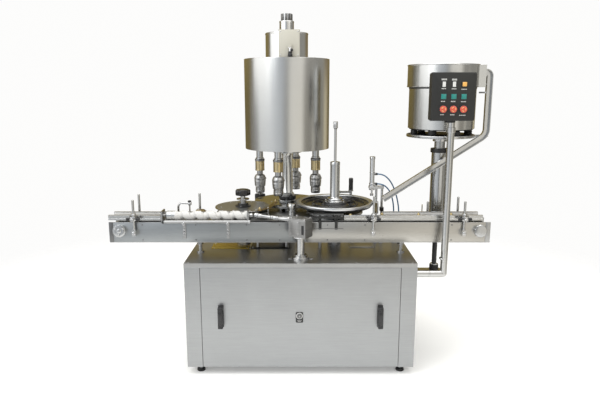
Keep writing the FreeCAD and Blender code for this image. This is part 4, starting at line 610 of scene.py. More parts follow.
def make_worm():
    """Plastic worm: a cylinder with one helical pocket for the bottles, cut to a round section."""
    worm = Piece("worm", "timing_screw", "white_plastic", worm_white, bright, black)
    start, end, pitch = -746.0, -298.0, 72.0
    y, z = -260, 863
    steps, slices = 72, 220
    rings = []
    for index in range(slices + 1):
        x = start + 46 + (end - start - 46) * index / slices
        ring = []
        for count in range(steps):
            angle = 2 * math.pi * count / steps
            offset = (x - start - 44 - pitch * angle / (2 * math.pi)) % pitch
            offset = min(offset, pitch - offset)
            fade = min(1.0, max(0.0, (x - start - 44) / 40), max(0.0, (end - x) / 8))
            depth = max(0.0, 26 - (35 - math.sqrt(max(0.0, 19.0 ** 2 - offset ** 2)))) if offset < 19 else 0.0
            radius = 26 - depth * fade
            spot = Vector((x, y + radius * math.cos(angle), z + radius * math.sin(angle)))
            ring.append(worm.mesh.verts.new(spot * MM))
        rings.append(ring)
    for low, high in zip(rings, rings[1:]):
        for index in range(steps):
            after = (index + 1) % steps
            worm.mesh.faces.new([low[index], high[index], high[after], low[after]]).material_index = 0
    worm.mesh.faces.new(rings[-1]).material_index = 0
    worm.turned([(0, -1), (24, -1), (26, 1), (26, 28), (25.2, 29), (25.2, 30.5), (26, 31.5), (26, 45)],
                (start + 1, y, z), "X", 72, 1)
    worm.turned([(0, -5), (21, -5), (23.5, -3), (23.5, -1), (0, -1)], (start + 1, y, z), "X", 48, 2)
    worm.turned([(0, -28), (7, -28), (8, -27), (8, -5), (0, -5)], (start, y, z), "X", 32, 1)
    worm.turned([(8, 0), (11.5, 0.5), (11.5, 13.5), (8, 14)], (end, y, z), "X", 32, 1)
    worm.turned([(0, 14), (11, 14), (12, 15), (12, 29), (11, 30), (0, 30)], (end, y, z), "X", 32, 1)
    worm.done("timing_screw")


def make_tray_trim():
    """Bearing plate, screws and rings of the worm's tray."""
    tray = Piece("tray_bearings", "machine_base", "black_plastic", black, chrome)
    for x, side in ((-772.4, -1), (-285.6, 1)):
        for y in (-250, -270):
            tray.screw((x, y, 888), Vector((side, 0, 0)), 3.6, 1)
    tray.slab([(-296, 838), (-236, 838), (-236, 884), (-246, 893), (-286, 893), (-296, 884)], -769.6, -764,
              1.2, 0, "YZ")
    tray.turned([(9.1, 0), (10.2, 0.6), (10.2, 11), (9.1, 11.6)], (-766.4, -300, 835), "X", 32)
    tray.turned([(9.1, 0), (10.2, 0.6), (10.2, 11), (9.1, 11.6)], (-290.0, -300, 835), "X", 32, 1)
    tray.done()


# ---- gearbox and shaft ----

def make_gearbox():
    """Cast gearbox with a joint line, a cover with screws, a blank plate and the post's flanges."""
    turn = math.radians(-35)
    centre = (0, -350, 819)
    box = Piece("gearbox_trim", "machine_base", "aluminium", cast, dark_steel, chrome, black)
    box.block((-53, -386, 864.5), (53, -314, 870.5), 2.2, 0, turn, centre)
    box.block((-56.5, -386.5, 812), (56.5, -313.5, 813.4), 0.4, 1, turn, centre)
    box.block((-42, -386.4, 780), (14, -384.6, 858), 1.2, 0, turn, centre)
    box.block((30, -386.6, 786), (45, -384.6, 838), 0.8, 3, turn, centre)
    pivot = Vector(centre)
    spin = Matrix.Translation(pivot) @ Matrix.Rotation(turn, 4, "Z") @ Matrix.Translation(-pivot)
    out = spin.to_3x3() @ Vector((0, -1, 0))
    for x in (-36, 8):
        for z in (787, 851):
            spot = spin @ Vector((x, -386.4, z))
            box.screw(spot, out, 3.6, 2)
    for x in (-44, 44):
        for y in (-378, -322):
            box.bolt(spin @ Vector((x, y, 870.4)), "Z", 4.2, 2, kind="socket")
    box.done()
    post = Piece("gearbox_post_trim", "machine_base", "chrome", chrome, plate)
    for low in (WORKTOP, 762):
        post.turned([(22.1, 0), (45, 0), (46.3, 1.2), (46.3, 5), (45, 6.2), (22.1, 6.2)], (0, -350, low), "Z",
                    64)
    post.turned([(22.1, 6), (28, 6), (26, 12), (22.1, 15)], (0, -350, WORKTOP))
    for x, y in ring_of(4, 36, 0, -350, math.pi / 4):
        post.bolt((x, y, 649), "Z", 5.2)
    for low, high in ((-66, -48), (48, 66)):
        post.block((low, -372, WORKTOP), (high, -340, 646.4), 0.8, 1)
    post.done()


def make_cardan():
    """Forks, crosses and the splined sleeve of the universal-joint shaft."""
    start, end = Vector((-34.0, -330.0, 851.0)), Vector((-251, -260, 863))
    ahead = (end - start).normalized()
    length = (end - start).length
    shaft = Piece("cardan_joints", "cardan", "chrome", chuck_steel, dark_steel, steel)
    shaft.turned([(0, 0.10 * length), (9, 0.10 * length), (11, 0.12 * length), (11, 0.36 * length),
                  (9.5, 0.38 * length), (9.5, 0.40 * length), (12.5, 0.41 * length), (12.5, 0.58 * length),
                  (9.5, 0.60 * length), (9.5, 0.84 * length), (11.5, 0.86 * length), (11.5, 0.90 * length),
                  (0, 0.90 * length)], start, ahead, 32, 0)
    for share in (0.05, 0.95):
        centre = start + ahead * length * share
        side = ahead.cross(Vector((0, 0, 1))).normalized()
        up = side.cross(ahead).normalized()
        for axis in (side, up):
            shaft.turned([(0, -15.6), (4.2, -15.6), (4.6, -14.5), (4.6, 14.5), (4.2, 15.6), (0, 15.6)],
                         centre, axis, 20, 1)
        shaft.turned([(12, -9), (15.6, -6), (15.9, 0), (15.6, 6), (12, 9)], centre, ahead, 32, 2)
    for share in (0.45, 0.54):
        shaft.turned([(12.4, -2), (13.3, -1.4), (13.3, 1.4), (12.4, 2)], start + ahead * length * share,
                     ahead, 32, 1)
    shaft.done()


# ---- cabinet ----

def make_cabinet_trim():
    """Seams, a painted shadow line under the worktop's lip, service panels, feet, handles and lock face of
    the cabinet.
    """
    trim = Piece("cabinet_seams_and_lip_shadow", "machine_base", "stainless", sheet, dark_steel, black, plate)
    for side in (-1, 1):
        inner, outer = sorted((side * 540, side * 541.2))
        trim.block((inner, -450.4, 48), (outer, -447, 618), 0.2, 1)
        low, high = sorted((side * 625.5, side * 624.6))
        trim.slab([(-400, 80), (400, 80), (400, 585), (-400, 585)], low, high, 0.3, 0, "YZ")
        for y in (-385, 385):
            for z in (95, 332, 570):
                trim.screw((side * 625.4, y, z), Vector((side, 0, 0)), 5, kind="pan")
    # the cover's top seam: a dark line that also paints the shadow under the worktop's lip just above it
    trim.block((-539, -450.3, 617.4), (539, -447, 619.2), 0.2, 1)
    trim.block((-625.4, -450.8, 619), (625.4, -449.6, 622), 0.4)
    # rear service panel with louvres
    for low, high in ((-560, -250), (250, 560)):
        trim.block((low, 450, 200), (high, 452.6, 560), 1.0)
        for x in (low + 12, high - 12):
            for z in (212, 548):
                trim.screw((x, 452.5, z), BACKWARD, 5, kind="pan")
        for row in range(9):
            z = 240 + row * 34
            trim.slab([(452.4, z), (460, z + 3), (461, z + 8), (452.4, z + 18)], low + 40, high - 40, 0.8, 0,
                      "YZ")
    trim.block((-204, 487, 196), (204, 489.8, 504), 1.0)
    for x in (-194, 194):
        for z in (206, 494):
            trim.screw((x, 489.4, z), BACKWARD, 0.9, kind="pan")
    # low rubber blocks beside the front feet
    for side in (-1, 1):
        trim.slab([(side * 528, 45), (side * 544, 45), (side * 536, 34)], -420, -400, 1, 2, "XZ")
    trim.done()
    feet = Piece("foot_details", "machine_base", "rubber", rubber, chrome)
    for x in (-560, 560):
        for y in (-395, 395):
            feet.turned([(0, 0), (22.4, 0), (23.4, 1.5), (23.4, 6), (21.5, 10), (15, 13), (10.1, 13.5)],
                        (x, y, 0))
            feet.turned([(10.1, 33), (18, 33.2), (18, 41), (16.5, 42.4), (10.1, 42.6)], (x, y, 0), "Z", 6, 1)
            for z in range(14, 33, 2):
                feet.turned([(10.05, 0), (10.6, 0.8), (10.05, 1.6)], (x, y, z), "Z", 32, 1)
    feet.done()
    handles = Piece("cover_handles", "cover", "black_plastic", black, gloss_black, chrome, print_white)
    for x in (-432, 432):
        for z in (285, 405):
            inner = z + 21 if z == 285 else z - 21
            low, high = sorted((z, inner))
            handles.block((x - 13.5, -478, low), (x + 13.5, -450, high), 3.4, 0, segments=3)
            handles.turned([(0, 0), (5.4, 0), (5.4, 1.2), (4.4, 1.8), (0, 1.8)],
                           (x, -489.6, (low + high) / 2), "Y", 24, 1)
        handles.block((x - 13.5, -489.8, 285), (x + 13.5, -474.5, 405), 5.0, 0, segments=4)
        handles.block((x - 9.5, -490.0, 309), (x + 9.5, -488, 381), 0.9, 1)
        handles.block((x - 15, -451.6, 282), (x + 15, -450, 408), 0.7)
    rounded_plate = [(-26 + 4, 309), (14 - 4, 309), (14, 313), (14, 363), (10, 367), (-22, 367), (-26, 363),
                     (-26, 313)]
    handles.slab(rounded_plate, -455.2, -450, 0.8, 0, "XZ")
    handles.turned([(14.1, 0), (17.5, 0), (18.3, 0.8), (18.0, 2.2), (16, 2.9), (14.1, 2.9)],
                   (-6, -455.1, 348.4), "Y", 48, 3)
    for low, high in ((-18, 6), (-15, 3)):
        z = 320 if low == -18 else 315.5
        handles.block((low, -455.6, z), (high, -455.0, z + 2), 0.15, 3)
    handles.done("front_handles")
    lock = Piece("lock_face", "lock", "chrome", dark_steel, print_white)
    lock.turned([(0, 0), (11, 0), (12.6, 0.6), (12.6, 1.6), (11.4, 2.4), (5, 2.6), (4.4, 1.6), (0, 1.6)],
                (-6, -459.9, 348.4), "Y", 48)
    lock.block((-7.3, -462.2, 343), (-4.7, -461.2, 353.8), 0.3, 1)
    lock.done()


make_chain()
make_conveyor_trim()
make_rail_clamps()
make_rear_rail_trim()
make_worm()
make_tray_trim()
make_gearbox()
make_cardan()
make_cabinet_trim()


# ---- turret and heads ----

def lobed(x, y, radius, depth, lobes, points=6):
    """Outline of a grip with evenly spaced rounded lobes."""
    count = lobes * points
    return [(x + (radius + depth * math.cos(lobes * 2 * math.pi * index / count))
             * math.cos(2 * math.pi * index / count),
             y + (radius + depth * math.cos(lobes * 2 * math.pi * index / count))
             * math.sin(2 * math.pi * index / count)) for index in range(count)]


def arc(x, y, radius, start, end, steps):
    """Points along an arc, angles in degrees."""
    return [(x + radius * math.cos(math.radians(start + (end - start) * index / steps)),
             y + radius * math.sin(math.radians(start + (end - start) * index / steps)))
            for index in range(steps + 1)]


def make_turret_trim():
    """Disc clamp and column sleeve of the turret, the buffer behind it and the corner guide."""
    x, y = TURRET
    trim = Piece("rotor_clamp_trim", "turret", "black_plastic", black, rod_steel, bright, drum_steel)
    trim.slab(lobed(x, y, 50, 3.4, 12), 880, 899, 2.0)
    trim.turned([(45.2, 0), (58, 0), (60, 1.5), (60, 5), (57, 7), (45.2, 7.5)], (x, y, 870.2), "Z", 64, 1)
    for spot in ring_of(6, 53, x, y, 0.4):
        trim.screw((*spot, 877.4), "Z", 3.6, 1)
    trim.turned([(39, 0), (41.5, 1.2), (41.5, 6.8), (39, 8)], (x, y, 901), "Z", 48, 1)
    trim.turned([(26.3, 908.2), (37, 908.4), (39, 910), (39, 917), (34, 921), (32.4, 924), (32.4, 1150),
                 (34, 1153), (34, 1170), (32, 1173), (26.3, 1173.6)], (x, y, 0), "Z", 64, 3)
    for spot in ring_of(8, 76, x, y):
        trim.bolt((*spot, 1173.8), DOWN, 6, 1)
    trim.turned([(88.2, 0), (90.5, 1.5), (90.5, 7), (88.2, 8.5)], (x, y, 1182), "Z", 96, 2)
    for angle in range(4):
        turn = math.radians(253.9 + 45 + 90 * angle)
        for reach in (110, 160):
            trim.screw((x + reach * math.cos(turn), y + reach * math.sin(turn), 870), "Z", 4.2, 1, kind="pan")
    trim.done()
    buffer = Piece("guide_buffer", "machine_base", "rubber", rubber, bright)
    buffer.turned([(0, 0), (32, 0), (34, 2), (34, 36), (32, 38), (0, 38)], (*BUFFER, 840), "Z", 64)
    for height in (850, 858, 866):
        buffer.turned([(33.4, 0), (34.8, 0.8), (34.8, 3.2), (33.4, 4)], (*BUFFER, height), "Z", 64)
    buffer.bolt((*BUFFER, 878), "Z", 7, 1, kind="socket")
    buffer.turned([(0, 0), (26, 0), (27, 1), (27, 8), (24, 10), (11, 11), (11, 197), (0, 197)],
                  (*BUFFER, WORKTOP + 0.2), "Z", 48, 1)
    buffer.done()
    hub = Piece("guide_hub", "machine_base", "chrome", bright, brass, bronze)
    hub.turned([(0, 0), (25, 0), (25, 20), (21, 23), (21, 27), (25, 30), (25, 52), (22, 57), (10, 60),
                (0, 60.4)], (-52, -82, 835.2))
    # corner guide: a thin bronze plate on a post, with a brass thumb nut at each end
    hub.slab([(-246, -214), (-236, -226), (-222, -222), (-172, -150), (-138, 14), (-142, 28), (-158, 29),
              (-196, -128)], 879.5, 883.5, 1.2, 2)
    hub.tube([(-188, -150, 835), (-188, -150, 880)], 5, 0, 20)
    hub.turned([(5, 0), (10, 0), (11, 1.5), (11, 6), (8, 8), (5, 8)], (-188, -150, 835), "Z", 32)
    hub.bolt((-188, -150, 883.4), "Z", 5)
    for nut_x, nut_y in ((-232, -212), (-150, 16)):
        hub.slab(lobed(nut_x, nut_y, 8.6, 0.7, 14), 884, 893, 1.0, 1)
        hub.turned([(0, 0), (6.5, 0), (6.5, 4), (4.5, 6.5), (0, 7.2)], (nut_x, nut_y, 893), "Z", 32, 1)
    hub.done()


def make_heads():
    """Brass collars on the spindles, and screws, bands and rubber mouths on the chucks."""
    for letter, (x, y, low) in HEADS.items():
        collar = Piece("head_collar_" + letter, "spindle_" + letter, "chrome", brass, dark_steel, chrome)
        collar.turned([(28.1, 1), (29.4, 2.2), (29.4, 5), (28.6, 5.8), (28.6, 55), (29.4, 56), (29.4, 59.5),
                       (28.1, 60.8)], (x, y, low), "Z", 64)
        collar.turned([(21.2, 74.2), (29.6, 74.1), (30.6, 72.5), (30.6, 63.5), (29, 62), (28.2, 61.6)],
                      (x, y, low), "Z", 64, 1)
        collar.turned([(21.2, 74), (25, 75), (25, 81), (23.4, 83), (21.2, 83.4)], (x, y, low), "Z", 48, 2)
        for turn in (0.6, 2.7, 4.8):
            out = Vector((math.cos(turn), math.sin(turn), 0))
            collar.screw(Vector((x, y, low + 48)) + out * 28.4, out, 3.0, 2)
        collar.done()
        chuck = Piece("chuck_trim_" + letter, "chuck_" + letter, "chrome", chuck_steel, dark_steel, rubber,
                      chrome)
        chuck.turned([(18.6, -23), (22, -25), (26, -30), (32.6, -37), (35.4, -42), (36.2, -46), (36.2, -58),
                      (35.4, -59.4), (35.4, -61), (36.0, -62.4), (35.2, -78), (34.4, -79), (34.4, -81),
                      (34.8, -82.4), (33.2, -97), (31, -101.4), (27.2, -102.6), (26.4, -104), (26.4, -107),
                      (28.6, -108.4), (28.9, -112), (28.9, -133), (27.6, -137.4), (24, -138.6)], (x, y, low),
                     "Z", 64)
        chuck.turned([(18, -140.4), (23, -141.8), (26.8, -141.2), (27.8, -138.8), (27.8, -135.6),
                      (27, -134.8)], (x, y, low), "Z", 48, 2)
        chuck.turned([(28.8, -128), (29.6, -127.4), (29.6, -124.4), (28.8, -123.8)], (x, y, low), "Z", 64, 3)
        for index in range(6):
            turn = index * math.pi / 3 + 0.35
            out = Vector((math.cos(turn), math.sin(turn), 0))
            if index % 2 == 0:
                chuck.screw(Vector((x, y, low - 52)) + out * 35.4, out, 5.2, 1)
            else:
                chuck.tube([Vector((x, y, low - 92)) + out * 31.6, Vector((x, y, low - 66)) + out * 33], 3.6,
                           1, 12)
        chuck.done()


def make_drum_trim():
    """Rolled rims, seam and screws of the drum, the can's flange, and the cap and switch above it."""
    x, y = TURRET
    trim = Piece("drum_trim", "machine_base", "stainless", drum_steel, dark_steel, chrome, black, cream)
    trim.turned([(257.2, 1728.4), (256.9, 1730), (255.6, 1730.9), (252, 1731)], (x, y, 0), "Z", 128)
    for spot in ring_of(12, 246, x, y, 0.2):
        trim.screw((*spot, 1730.2), "Z", 5, 2, kind="pan")
    trim.block((x - 257.6, y - 1.0, 1206), (x - 256.6, y + 1.0, 1721), 0.2, 1)
    trim.turned([(127.2, 0), (140, 0), (142, 1.5), (142, 5), (140, 6.5), (127.2, 7)], (x, y, 1730.2), "Z", 96)
    for spot in ring_of(8, 134.5, x, y, 0.1):
        trim.screw((*spot, 1736.6), "Z", 4.2, 2)
    trim.turned([(127.1, 1871), (128.8, 1872.4), (128.8, 1877), (126, 1881.2), (110, 1882.6), (44, 1883.4),
                 (43.2, 1883)], (x, y, 0), "Z", 96)
    for spot in ring_of(6, 96, x, y, 0.4):
        trim.bolt((*spot, 1882.4), "Z", 5.4, 2)
    trim.turned([(43.1, 1884), (44.2, 1885), (44.2, 1889), (43.1, 1890)], (x, y, 0), "Z", 64)
    trim.turned([(43.1, 1942), (44.0, 1943), (44.0, 1948), (42.4, 1950.4), (34, 1950.8)], (x, y, 0), "Z", 64)
    trim.slab(lobed(x, y, 33.6, 1.9, 11, 8), 1951.4, 1991, 2.0, 1)
    trim.turned([(30, 1991), (28, 1993), (14, 1993.8), (0, 1994)], (x, y, 0), "Z", 64, 1)
    low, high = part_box("junction_box")
    left, right = low.x / MM, high.x / MM
    bottom, top = low.z / MM, high.z / MM
    face = -86.0
    trim.block((left + 2, face - 1.8, bottom + 3), (right - 2, face + 0.4, top - 3), 1.0, 4)
    trim.block((left - 0.8, face + 14, bottom - 0.2), (right + 0.8, face + 16, top + 0.8), 0.3, 1)
    for spot_x in (left + 10, right - 10):
        for spot_z in (bottom + 11, top - 11):
            trim.screw((spot_x, face - 1.7, spot_z), "Y", 3.8, 2, kind="pan")
    middle = (left + right) / 2 + 5
    trim.turned([(0, 0), (12, 0), (13, 1.4), (13, 12), (10.5, 15), (10.5, 26), (8, 28), (0, 28)],
                (middle, face - 14, bottom + 3), "Z", 28, 3)
    trim.tube([(middle, face - 14, bottom + 30), (middle, face - 14, bottom + 50),
               (middle, face + 2, bottom + 52)], 6.5, 2, 20, bend=9)
    trim.turned([(0, -3), (6.4, -3), (7.4, -1), (7.4, 8), (5, 11), (0, 11.6)],
                (middle + 5, face - 14, bottom + 38), "X", 28, 3)
    trim.turned([(0, 0), (11, 0), (11, 3), (9, 4), (0, 4)], (middle, face - 1.6, bottom + 52), "Y", 6, 2)
    trim.done()


# ---- stars, dial and lever ----

def make_star_trim():
    """Rings, screws and hub of the infeed star's disc, and the hand knob's lobed grip."""
    x, y = INFEED
    star = Piece("infeed_trim", "infeed_star", "chrome", chrome, black, bronze)
    star.turned([(157, 877.1), (162.9, 877.1), (163.6, 876), (163.6, 873), (162.8, 872)], (x, y, 0), "Z", 128)
    star.turned([(30.2, 0), (44, 0), (46, 1.2), (46, 4), (44, 5), (31, 5.6), (30.2, 16), (33, 18),
                 (30.2, 20.4)], (x, y, 877.2), "Z", 64, 1)
    star.turned([(30.1, 0), (31.4, 0.8), (31.4, 3.4), (30.1, 4)], (x, y, 893), "Z", 64)
    star.turned([(20, 917), (36.2, 917), (37.6, 918.2), (37.6, 921.6), (36.2, 922.8), (24, 923)], (x, y, 0),
                "Z", 64)
    for spot in ring_of(3, 38.5, x, y, 0.3):
        star.screw((*spot, 881.8), "Z", 3.6)
    for spot in ring_of(6, 128, x, y, 0.2):
        star.screw((*spot, 877), "Z", 4.4, kind="pan")
    star.done()
    knob = Piece("clamp_knob", "hand_knob", "black_plastic", gloss_black, chrome)
    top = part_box("hand_knob")[1].z / MM
    knob.slab(lobed(x, y, 42.4, 2.6, 7, 10), top - 37, top - 3, 5.5)
    knob.turned([(0, -39), (15, -39), (17, -37), (17, -36), (0, -36)], (x, y, top), "Z", 48, 1)
    knob.turned([(0, -3.4), (30, -3.4), (27, -0.6), (12, 1.2), (0, 1.4)], (x, y, top), "Z", 64)
    knob.turned([(12, 923.2), (14, 923.2), (14, top - 38), (12, top - 37.6)], (x, y, 0), "Z", 32, 1)
    knob.done("hand_knob")


def make_dial():
    """Dished black dial with a bright rolled rim, ridges and the tall adjuster tube."""
    x, y = OUTFEED
    dial = Piece("cap_dial_shell", "outfeed_star", "chrome", aluminium, gloss_black, chrome, rod_steel, black)
    sections = (
        ([(7.9, 876), (190, 876), (207, 876.4), (214, 879), (221, 888), (222, 890)], 4),
        ([(222, 890), (225.6, 892.5), (227, 897), (227, 902.5), (225.6, 905.4), (222.6, 906.6), (206, 904.6),
          (201.6, 902.8), (200, 900)], 0),
        ([(200, 900), (196, 894), (186, 889.6), (182, 890.4), (180.2, 894), (178.6, 896.8), (174.4, 896.8),
          (172.8, 894), (170.8, 888.6), (150, 887), (139, 887.4), (136, 890), (134.2, 895), (132.6, 896.4),
          (128.4, 896.4), (127, 895), (124.6, 887), (90, 885.6), (80, 886.6), (74, 890)], 1),
        ([(74, 890), (70, 899), (66, 903), (60, 904.4), (52, 904.8)], 4),
        ([(52, 904.8), (51.6, 909), (49, 911), (45, 911.4), (44.4, 921), (42.4, 923.4), (33, 924.6),
          (29.6, 927), (28.4, 931)], 2),
        ([(28.4, 931), (28, 932.4), (28, 1118), (28.7, 1119), (28.7, 1135), (27.4, 1138.2), (24, 1139),
          (9.4, 1139), (8, 1137.4), (7.9, 1120), (7.9, 876)], 3))
    for profile, finish in sections:
        dial.turned(profile, (x, y, 0), "Z", 144, finish, closed=False)
    for spot in ring_of(6, 60, x, y, 0.5):
        dial.bolt((*spot, 904.2), "Z", 4.4, 2, kind="socket")
    for turn in (0.5, 2.4, 4.2):
        middle = Vector((math.cos(turn), math.sin(turn)))
        across = Vector((-math.sin(turn), math.cos(turn)))
        corners = [middle * 76 + across * 9, middle * 120 + across * 6, middle * 120 - across * 6,
                   middle * 76 - across * 9]
        dial.slab([(x + corner.x, y + corner.y) for corner in corners], 886, 893, 1.6, 4)
    dial.done("cap_dial")
    knurl = Piece("adjuster_knurl", "adjuster", "chrome", chrome, dark_steel)
    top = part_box("adjuster_rod")[1].z / MM
    knurl.slab(lobed(x, y, 13.0, 0.5, 26, 4), top - 36, top - 5, 0.6)
    knurl.turned([(0, -5.2), (12.6, -5.2), (12.6, -1.4), (11, 0.4), (0, 0.8)], (x, y, top))
    knurl.turned([(7.6, -44), (9.6, -43), (9.6, -38), (7.6, -37.6)], (x, y, top), "Z", 32, 1)
    knurl.done()
    lever = Piece("lever_grip", "lever", "black_plastic", black, chrome)
    lever_x, lever_y, top = 318, 160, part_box("guard_lever")[1].z / MM
    lever.turned([(12.3, -74), (13.4, -73), (13.8, -60), (13.2, -40), (13.8, -14), (13.4, -3), (10, 1.4),
                  (0, 2)], (lever_x, lever_y, top), "Z", 40)
    lever.turned([(8, -84), (14.6, -84), (15.4, -82.6), (15.4, -76.4), (12.4, -75)], (lever_x, lever_y, top),
                 "Z", 40, 1)
    lever.bolt((lever_x - 78, lever_y, 924.2), "Z", 4.4, 1)
    lever.done()


def make_cylinder_trim():
    """End rings, rod nut, fittings and bolts of the air cylinder's stand."""
    x, y = 425, -30
    trim = Piece("cylinder_trim", "machine_base", "aluminium", bright, chrome, black, hose_blue, dark_steel)
    trim.turned([(14.2, 0), (16.6, 0), (17, 1), (17, 4), (16, 5.2), (14.2, 6)], (x, y, 1004), "Z", 40, 1)
    trim.turned([(14.1, 0), (15.6, 0.6), (15.6, 3), (14.1, 3.6)], (x, y, 1070), "Z", 40, 1)
    trim.turned([(14.1, 0), (16.3, 0.8), (16.3, 9), (14.6, 12.6), (8, 14), (0, 14.2)], (x, y, 1153), "Z", 40)
    for z in (1062, 1003):
        trim.turned([(5.2, 0), (8.6, 0), (8.6, 5), (5.2, 5.6)], (x + 13, y, z), "X", 6, 1)
        trim.turned([(4.2, 5), (7.4, 5.6), (7.4, 14), (6.4, 17), (4.2, 17.6)], (x + 13, y, z), "X", 28, 2)
        trim.turned([(4.2, 17.6), (6.2, 18), (6.2, 20.6), (4.2, 21.4)], (x + 13, y, z), "X", 28, 3)
    trim.turned([(8, 0), (17, 0), (17, 7), (15, 8.6), (8, 8.6)], (x, y, 967), "Z", 6, 1)
    for post in (452, 486):
        trim.bolt((post, y, 990.2), "Z", 6, 1)
        for spot in ring_of(3, 15.5, post, y, 0.4):
            trim.screw((*spot, 651), "Z", 2.8, 1)
    trim.block((438, -52, 862), (456, -8, 884), 1.6, 2)
    trim.screw((447, -52, 873), "Y", 4, 1)
    trim.block((475, -44, 838), (498, -16, 862), 2.0, 2)
    trim.done()
    nuts = Piece("rail_studs", "right_guide", "chrome", brass, chrome)
    for nut_x in (277, 453, 656, 837):
        rise = 8 if nut_x < 300 else 13
        nuts.slab(lobed(nut_x, -274, 8.4, 0.6, 12), 868.2, 868.2 + rise * 0.6, 0.6)
        nuts.turned([(0, 0), (5.6, 0), (5.6, 0.2 * rise), (3.8, 0.38 * rise), (0, 0.4 * rise)],
                    (nut_x, -274, 868.2 + rise * 0.6), "Z", 28)
    nuts.done()
    guard = Piece("black_guide_trim", "machine_base", "black_plastic", dark_steel, chrome)
    low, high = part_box("black_guide_rail")
    for z in (low.z / MM + 5, high.z / MM - 6):
        guard.block((72, low.y / MM - 0.9, z - 1.3), (238, low.y / MM + 0.4, z + 1.3), 0.4)
    guard.screw((229, low.y / MM - 0.4, high.z / MM - 13), "Y", 3.2, 1)
    guard.done()


# ---- feeder and panel ----

def make_feeder_trim():
    """Fittings of the feeder's column, the bowl with its spiral track, and the mast's pads."""
    x, y = BOWL
    column = Piece("column_trim", "machine_base", "chrome", chrome, black, rubber, dark_steel, plate)
    column.turned([(44.2, 0), (50, 0), (51.5, 1.6), (51.5, 22), (50, 23.6), (31.6, 24.2)], (x, y, 1194), "Z",
                  64, 1)
    column.turned([(0, 0), (7, 0), (8, 1), (8, 30), (6.5, 31), (0, 31)], (x + 50, y, 1206), "X", 24)
    column.turned([(44.1, 0), (46.2, 1), (46.2, 7), (44.1, 8)], (x, y, 716), "Z", 64)
    column.turned([(24.2, 0), (26, 0), (27, 1.4), (27, 34), (25, 37), (14, 40)], (x, y, 476.2), "Z", 48, 2)
    column.turned([(13.4, 0), (14.2, 0.6), (14.2, 181), (13.4, 181.6)], (x, y, 516), "Z", 32, 1)
    for z in range(530, 706, 8):
        column.turned([(13.8, 0), (15.4, 2.2), (13.8, 4.6)], (x, y, z), "Z", 32, 1)
    column.turned([(14, 0), (26, 0), (26, 13), (23, 16), (14, 16)], (x, y, 698), "Z", 6)
    column.block((624.8, y - 66, 420), (631.5, y + 66, 496), 1.4, 4)
    for spot_y in (y - 55, y + 55):
        for z in (432, 484):
            column.bolt((631.4, spot_y, z), "X", 6)
    column.done()
    bowl = Piece("bowl_trim", "bowl", "chrome", bright, dark_steel, black, drum_steel)
    bowl.turned([(195, 1683), (199.4, 1683.4), (201.6, 1685.2), (201.6, 1688.4), (199.4, 1690.4),
                 (195.6, 1689.4)], (x, y, 0), "Z", 128)
    bowl.turned([(199.1, 1567), (200.9, 1568.2), (200.9, 1572), (199.1, 1573)], (x, y, 0), "Z", 128)
    bowl.turned([(187.2, 1557), (189, 1557.6), (189, 1565.4), (187.2, 1566)], (x, y, 0), "Z", 128, 2)
    bowl.turned([(60, 1333.8), (176, 1333.8), (179, 1332), (179, 1329), (60, 1329)], (x, y, 0), "Z", 96, 2)
    turns, steps, low, high = 2.2, 160, 1590, 1672
    rows = []
    for index in range(steps + 1):
        share = index / steps
        angle = -0.2 - 2 * math.pi * turns * (1 - share)
        outer = 172 + 21 * share
        ledge = 26 - 6 * share
        z = low + (high - low) * share
        row = []
        for radius, rise in ((outer - ledge, 1.5), (outer, -1), (outer, 2), (outer - ledge, 5)):
            spot = Vector((x + radius * math.cos(angle), y + radius * math.sin(angle), z + rise))
            row.append(bowl.mesh.verts.new(spot * MM))
        rows.append(row)
    for one, two in zip(rows, rows[1:]):
        for index in range(4):
            after = (index + 1) % 4
            bowl.mesh.faces.new([one[index], one[after], two[after], two[index]]).material_index = 3
    bowl.mesh.faces.new(rows[0])
    bowl.mesh.faces.new(list(reversed(rows[-1])))
    bowl.turned([(0, 0), (26, 0), (26, 4), (10, 10), (8, 26), (0, 28)], (x, y, 1599), "Z", 48, 1)
    bowl.block((968, -146, 1683), (1028, -70, 1687.4), 0.8)
    bowl.block((1026.6, -141, 1570), (1029, -75, 1640), 0.6, 1)
    for spot_y in (-136, -80):
        for z in (1582, 1628):
            bowl.screw((1028.6, spot_y, z), "X", 3.6)
    bowl.done()
    mast = Piece("mast_trim", "feeder", "rubber", rubber, chrome, black, dark_steel)
    for spot in ring_of(3, 160, x, y):
        mast.turned([(20.1, 0), (22, 0.6), (23.6, 5), (21.4, 9), (23.6, 14), (21.4, 19), (23.6, 24), (22, 29),
                     (20.1, 30)], (*spot, 1301), "Z", 40)
    for spot in ring_of(3, 150, x, y, -1.2):
        mast.turned([(0, 0), (19, 0), (20, 1), (20, 22), (16, 27), (0, 28)], (*spot, 1300.2), "Z", 40, 2)
    mast.turned([(192.1, 1286), (194, 1287.4), (194, 1297.4), (192, 1299.6)], (x, y, 0), "Z", 128, 1)
    mast.turned([(70, 1300.2), (182, 1300.2), (184, 1301.2), (182, 1302.2), (70, 1302.4)], (x, y, 0), "Z", 96,
                2)
    mast.turned([(31.2, 0), (40, 0), (41.4, 1.4), (41.4, 16), (40, 17.4), (31.2, 18)], (x, y, 1258), "Z", 48,
                1)
    for spot in ring_of(6, 54, x, y):
        mast.bolt((*spot, 1274.8), DOWN, 5, 1)
    mast.block((1000, -124, 1532), (1044, -116, 1541), 0.8, 3)
    mast.bolt((1034, -124, 1536.4), "Y", 4, 1)
    mast.done()


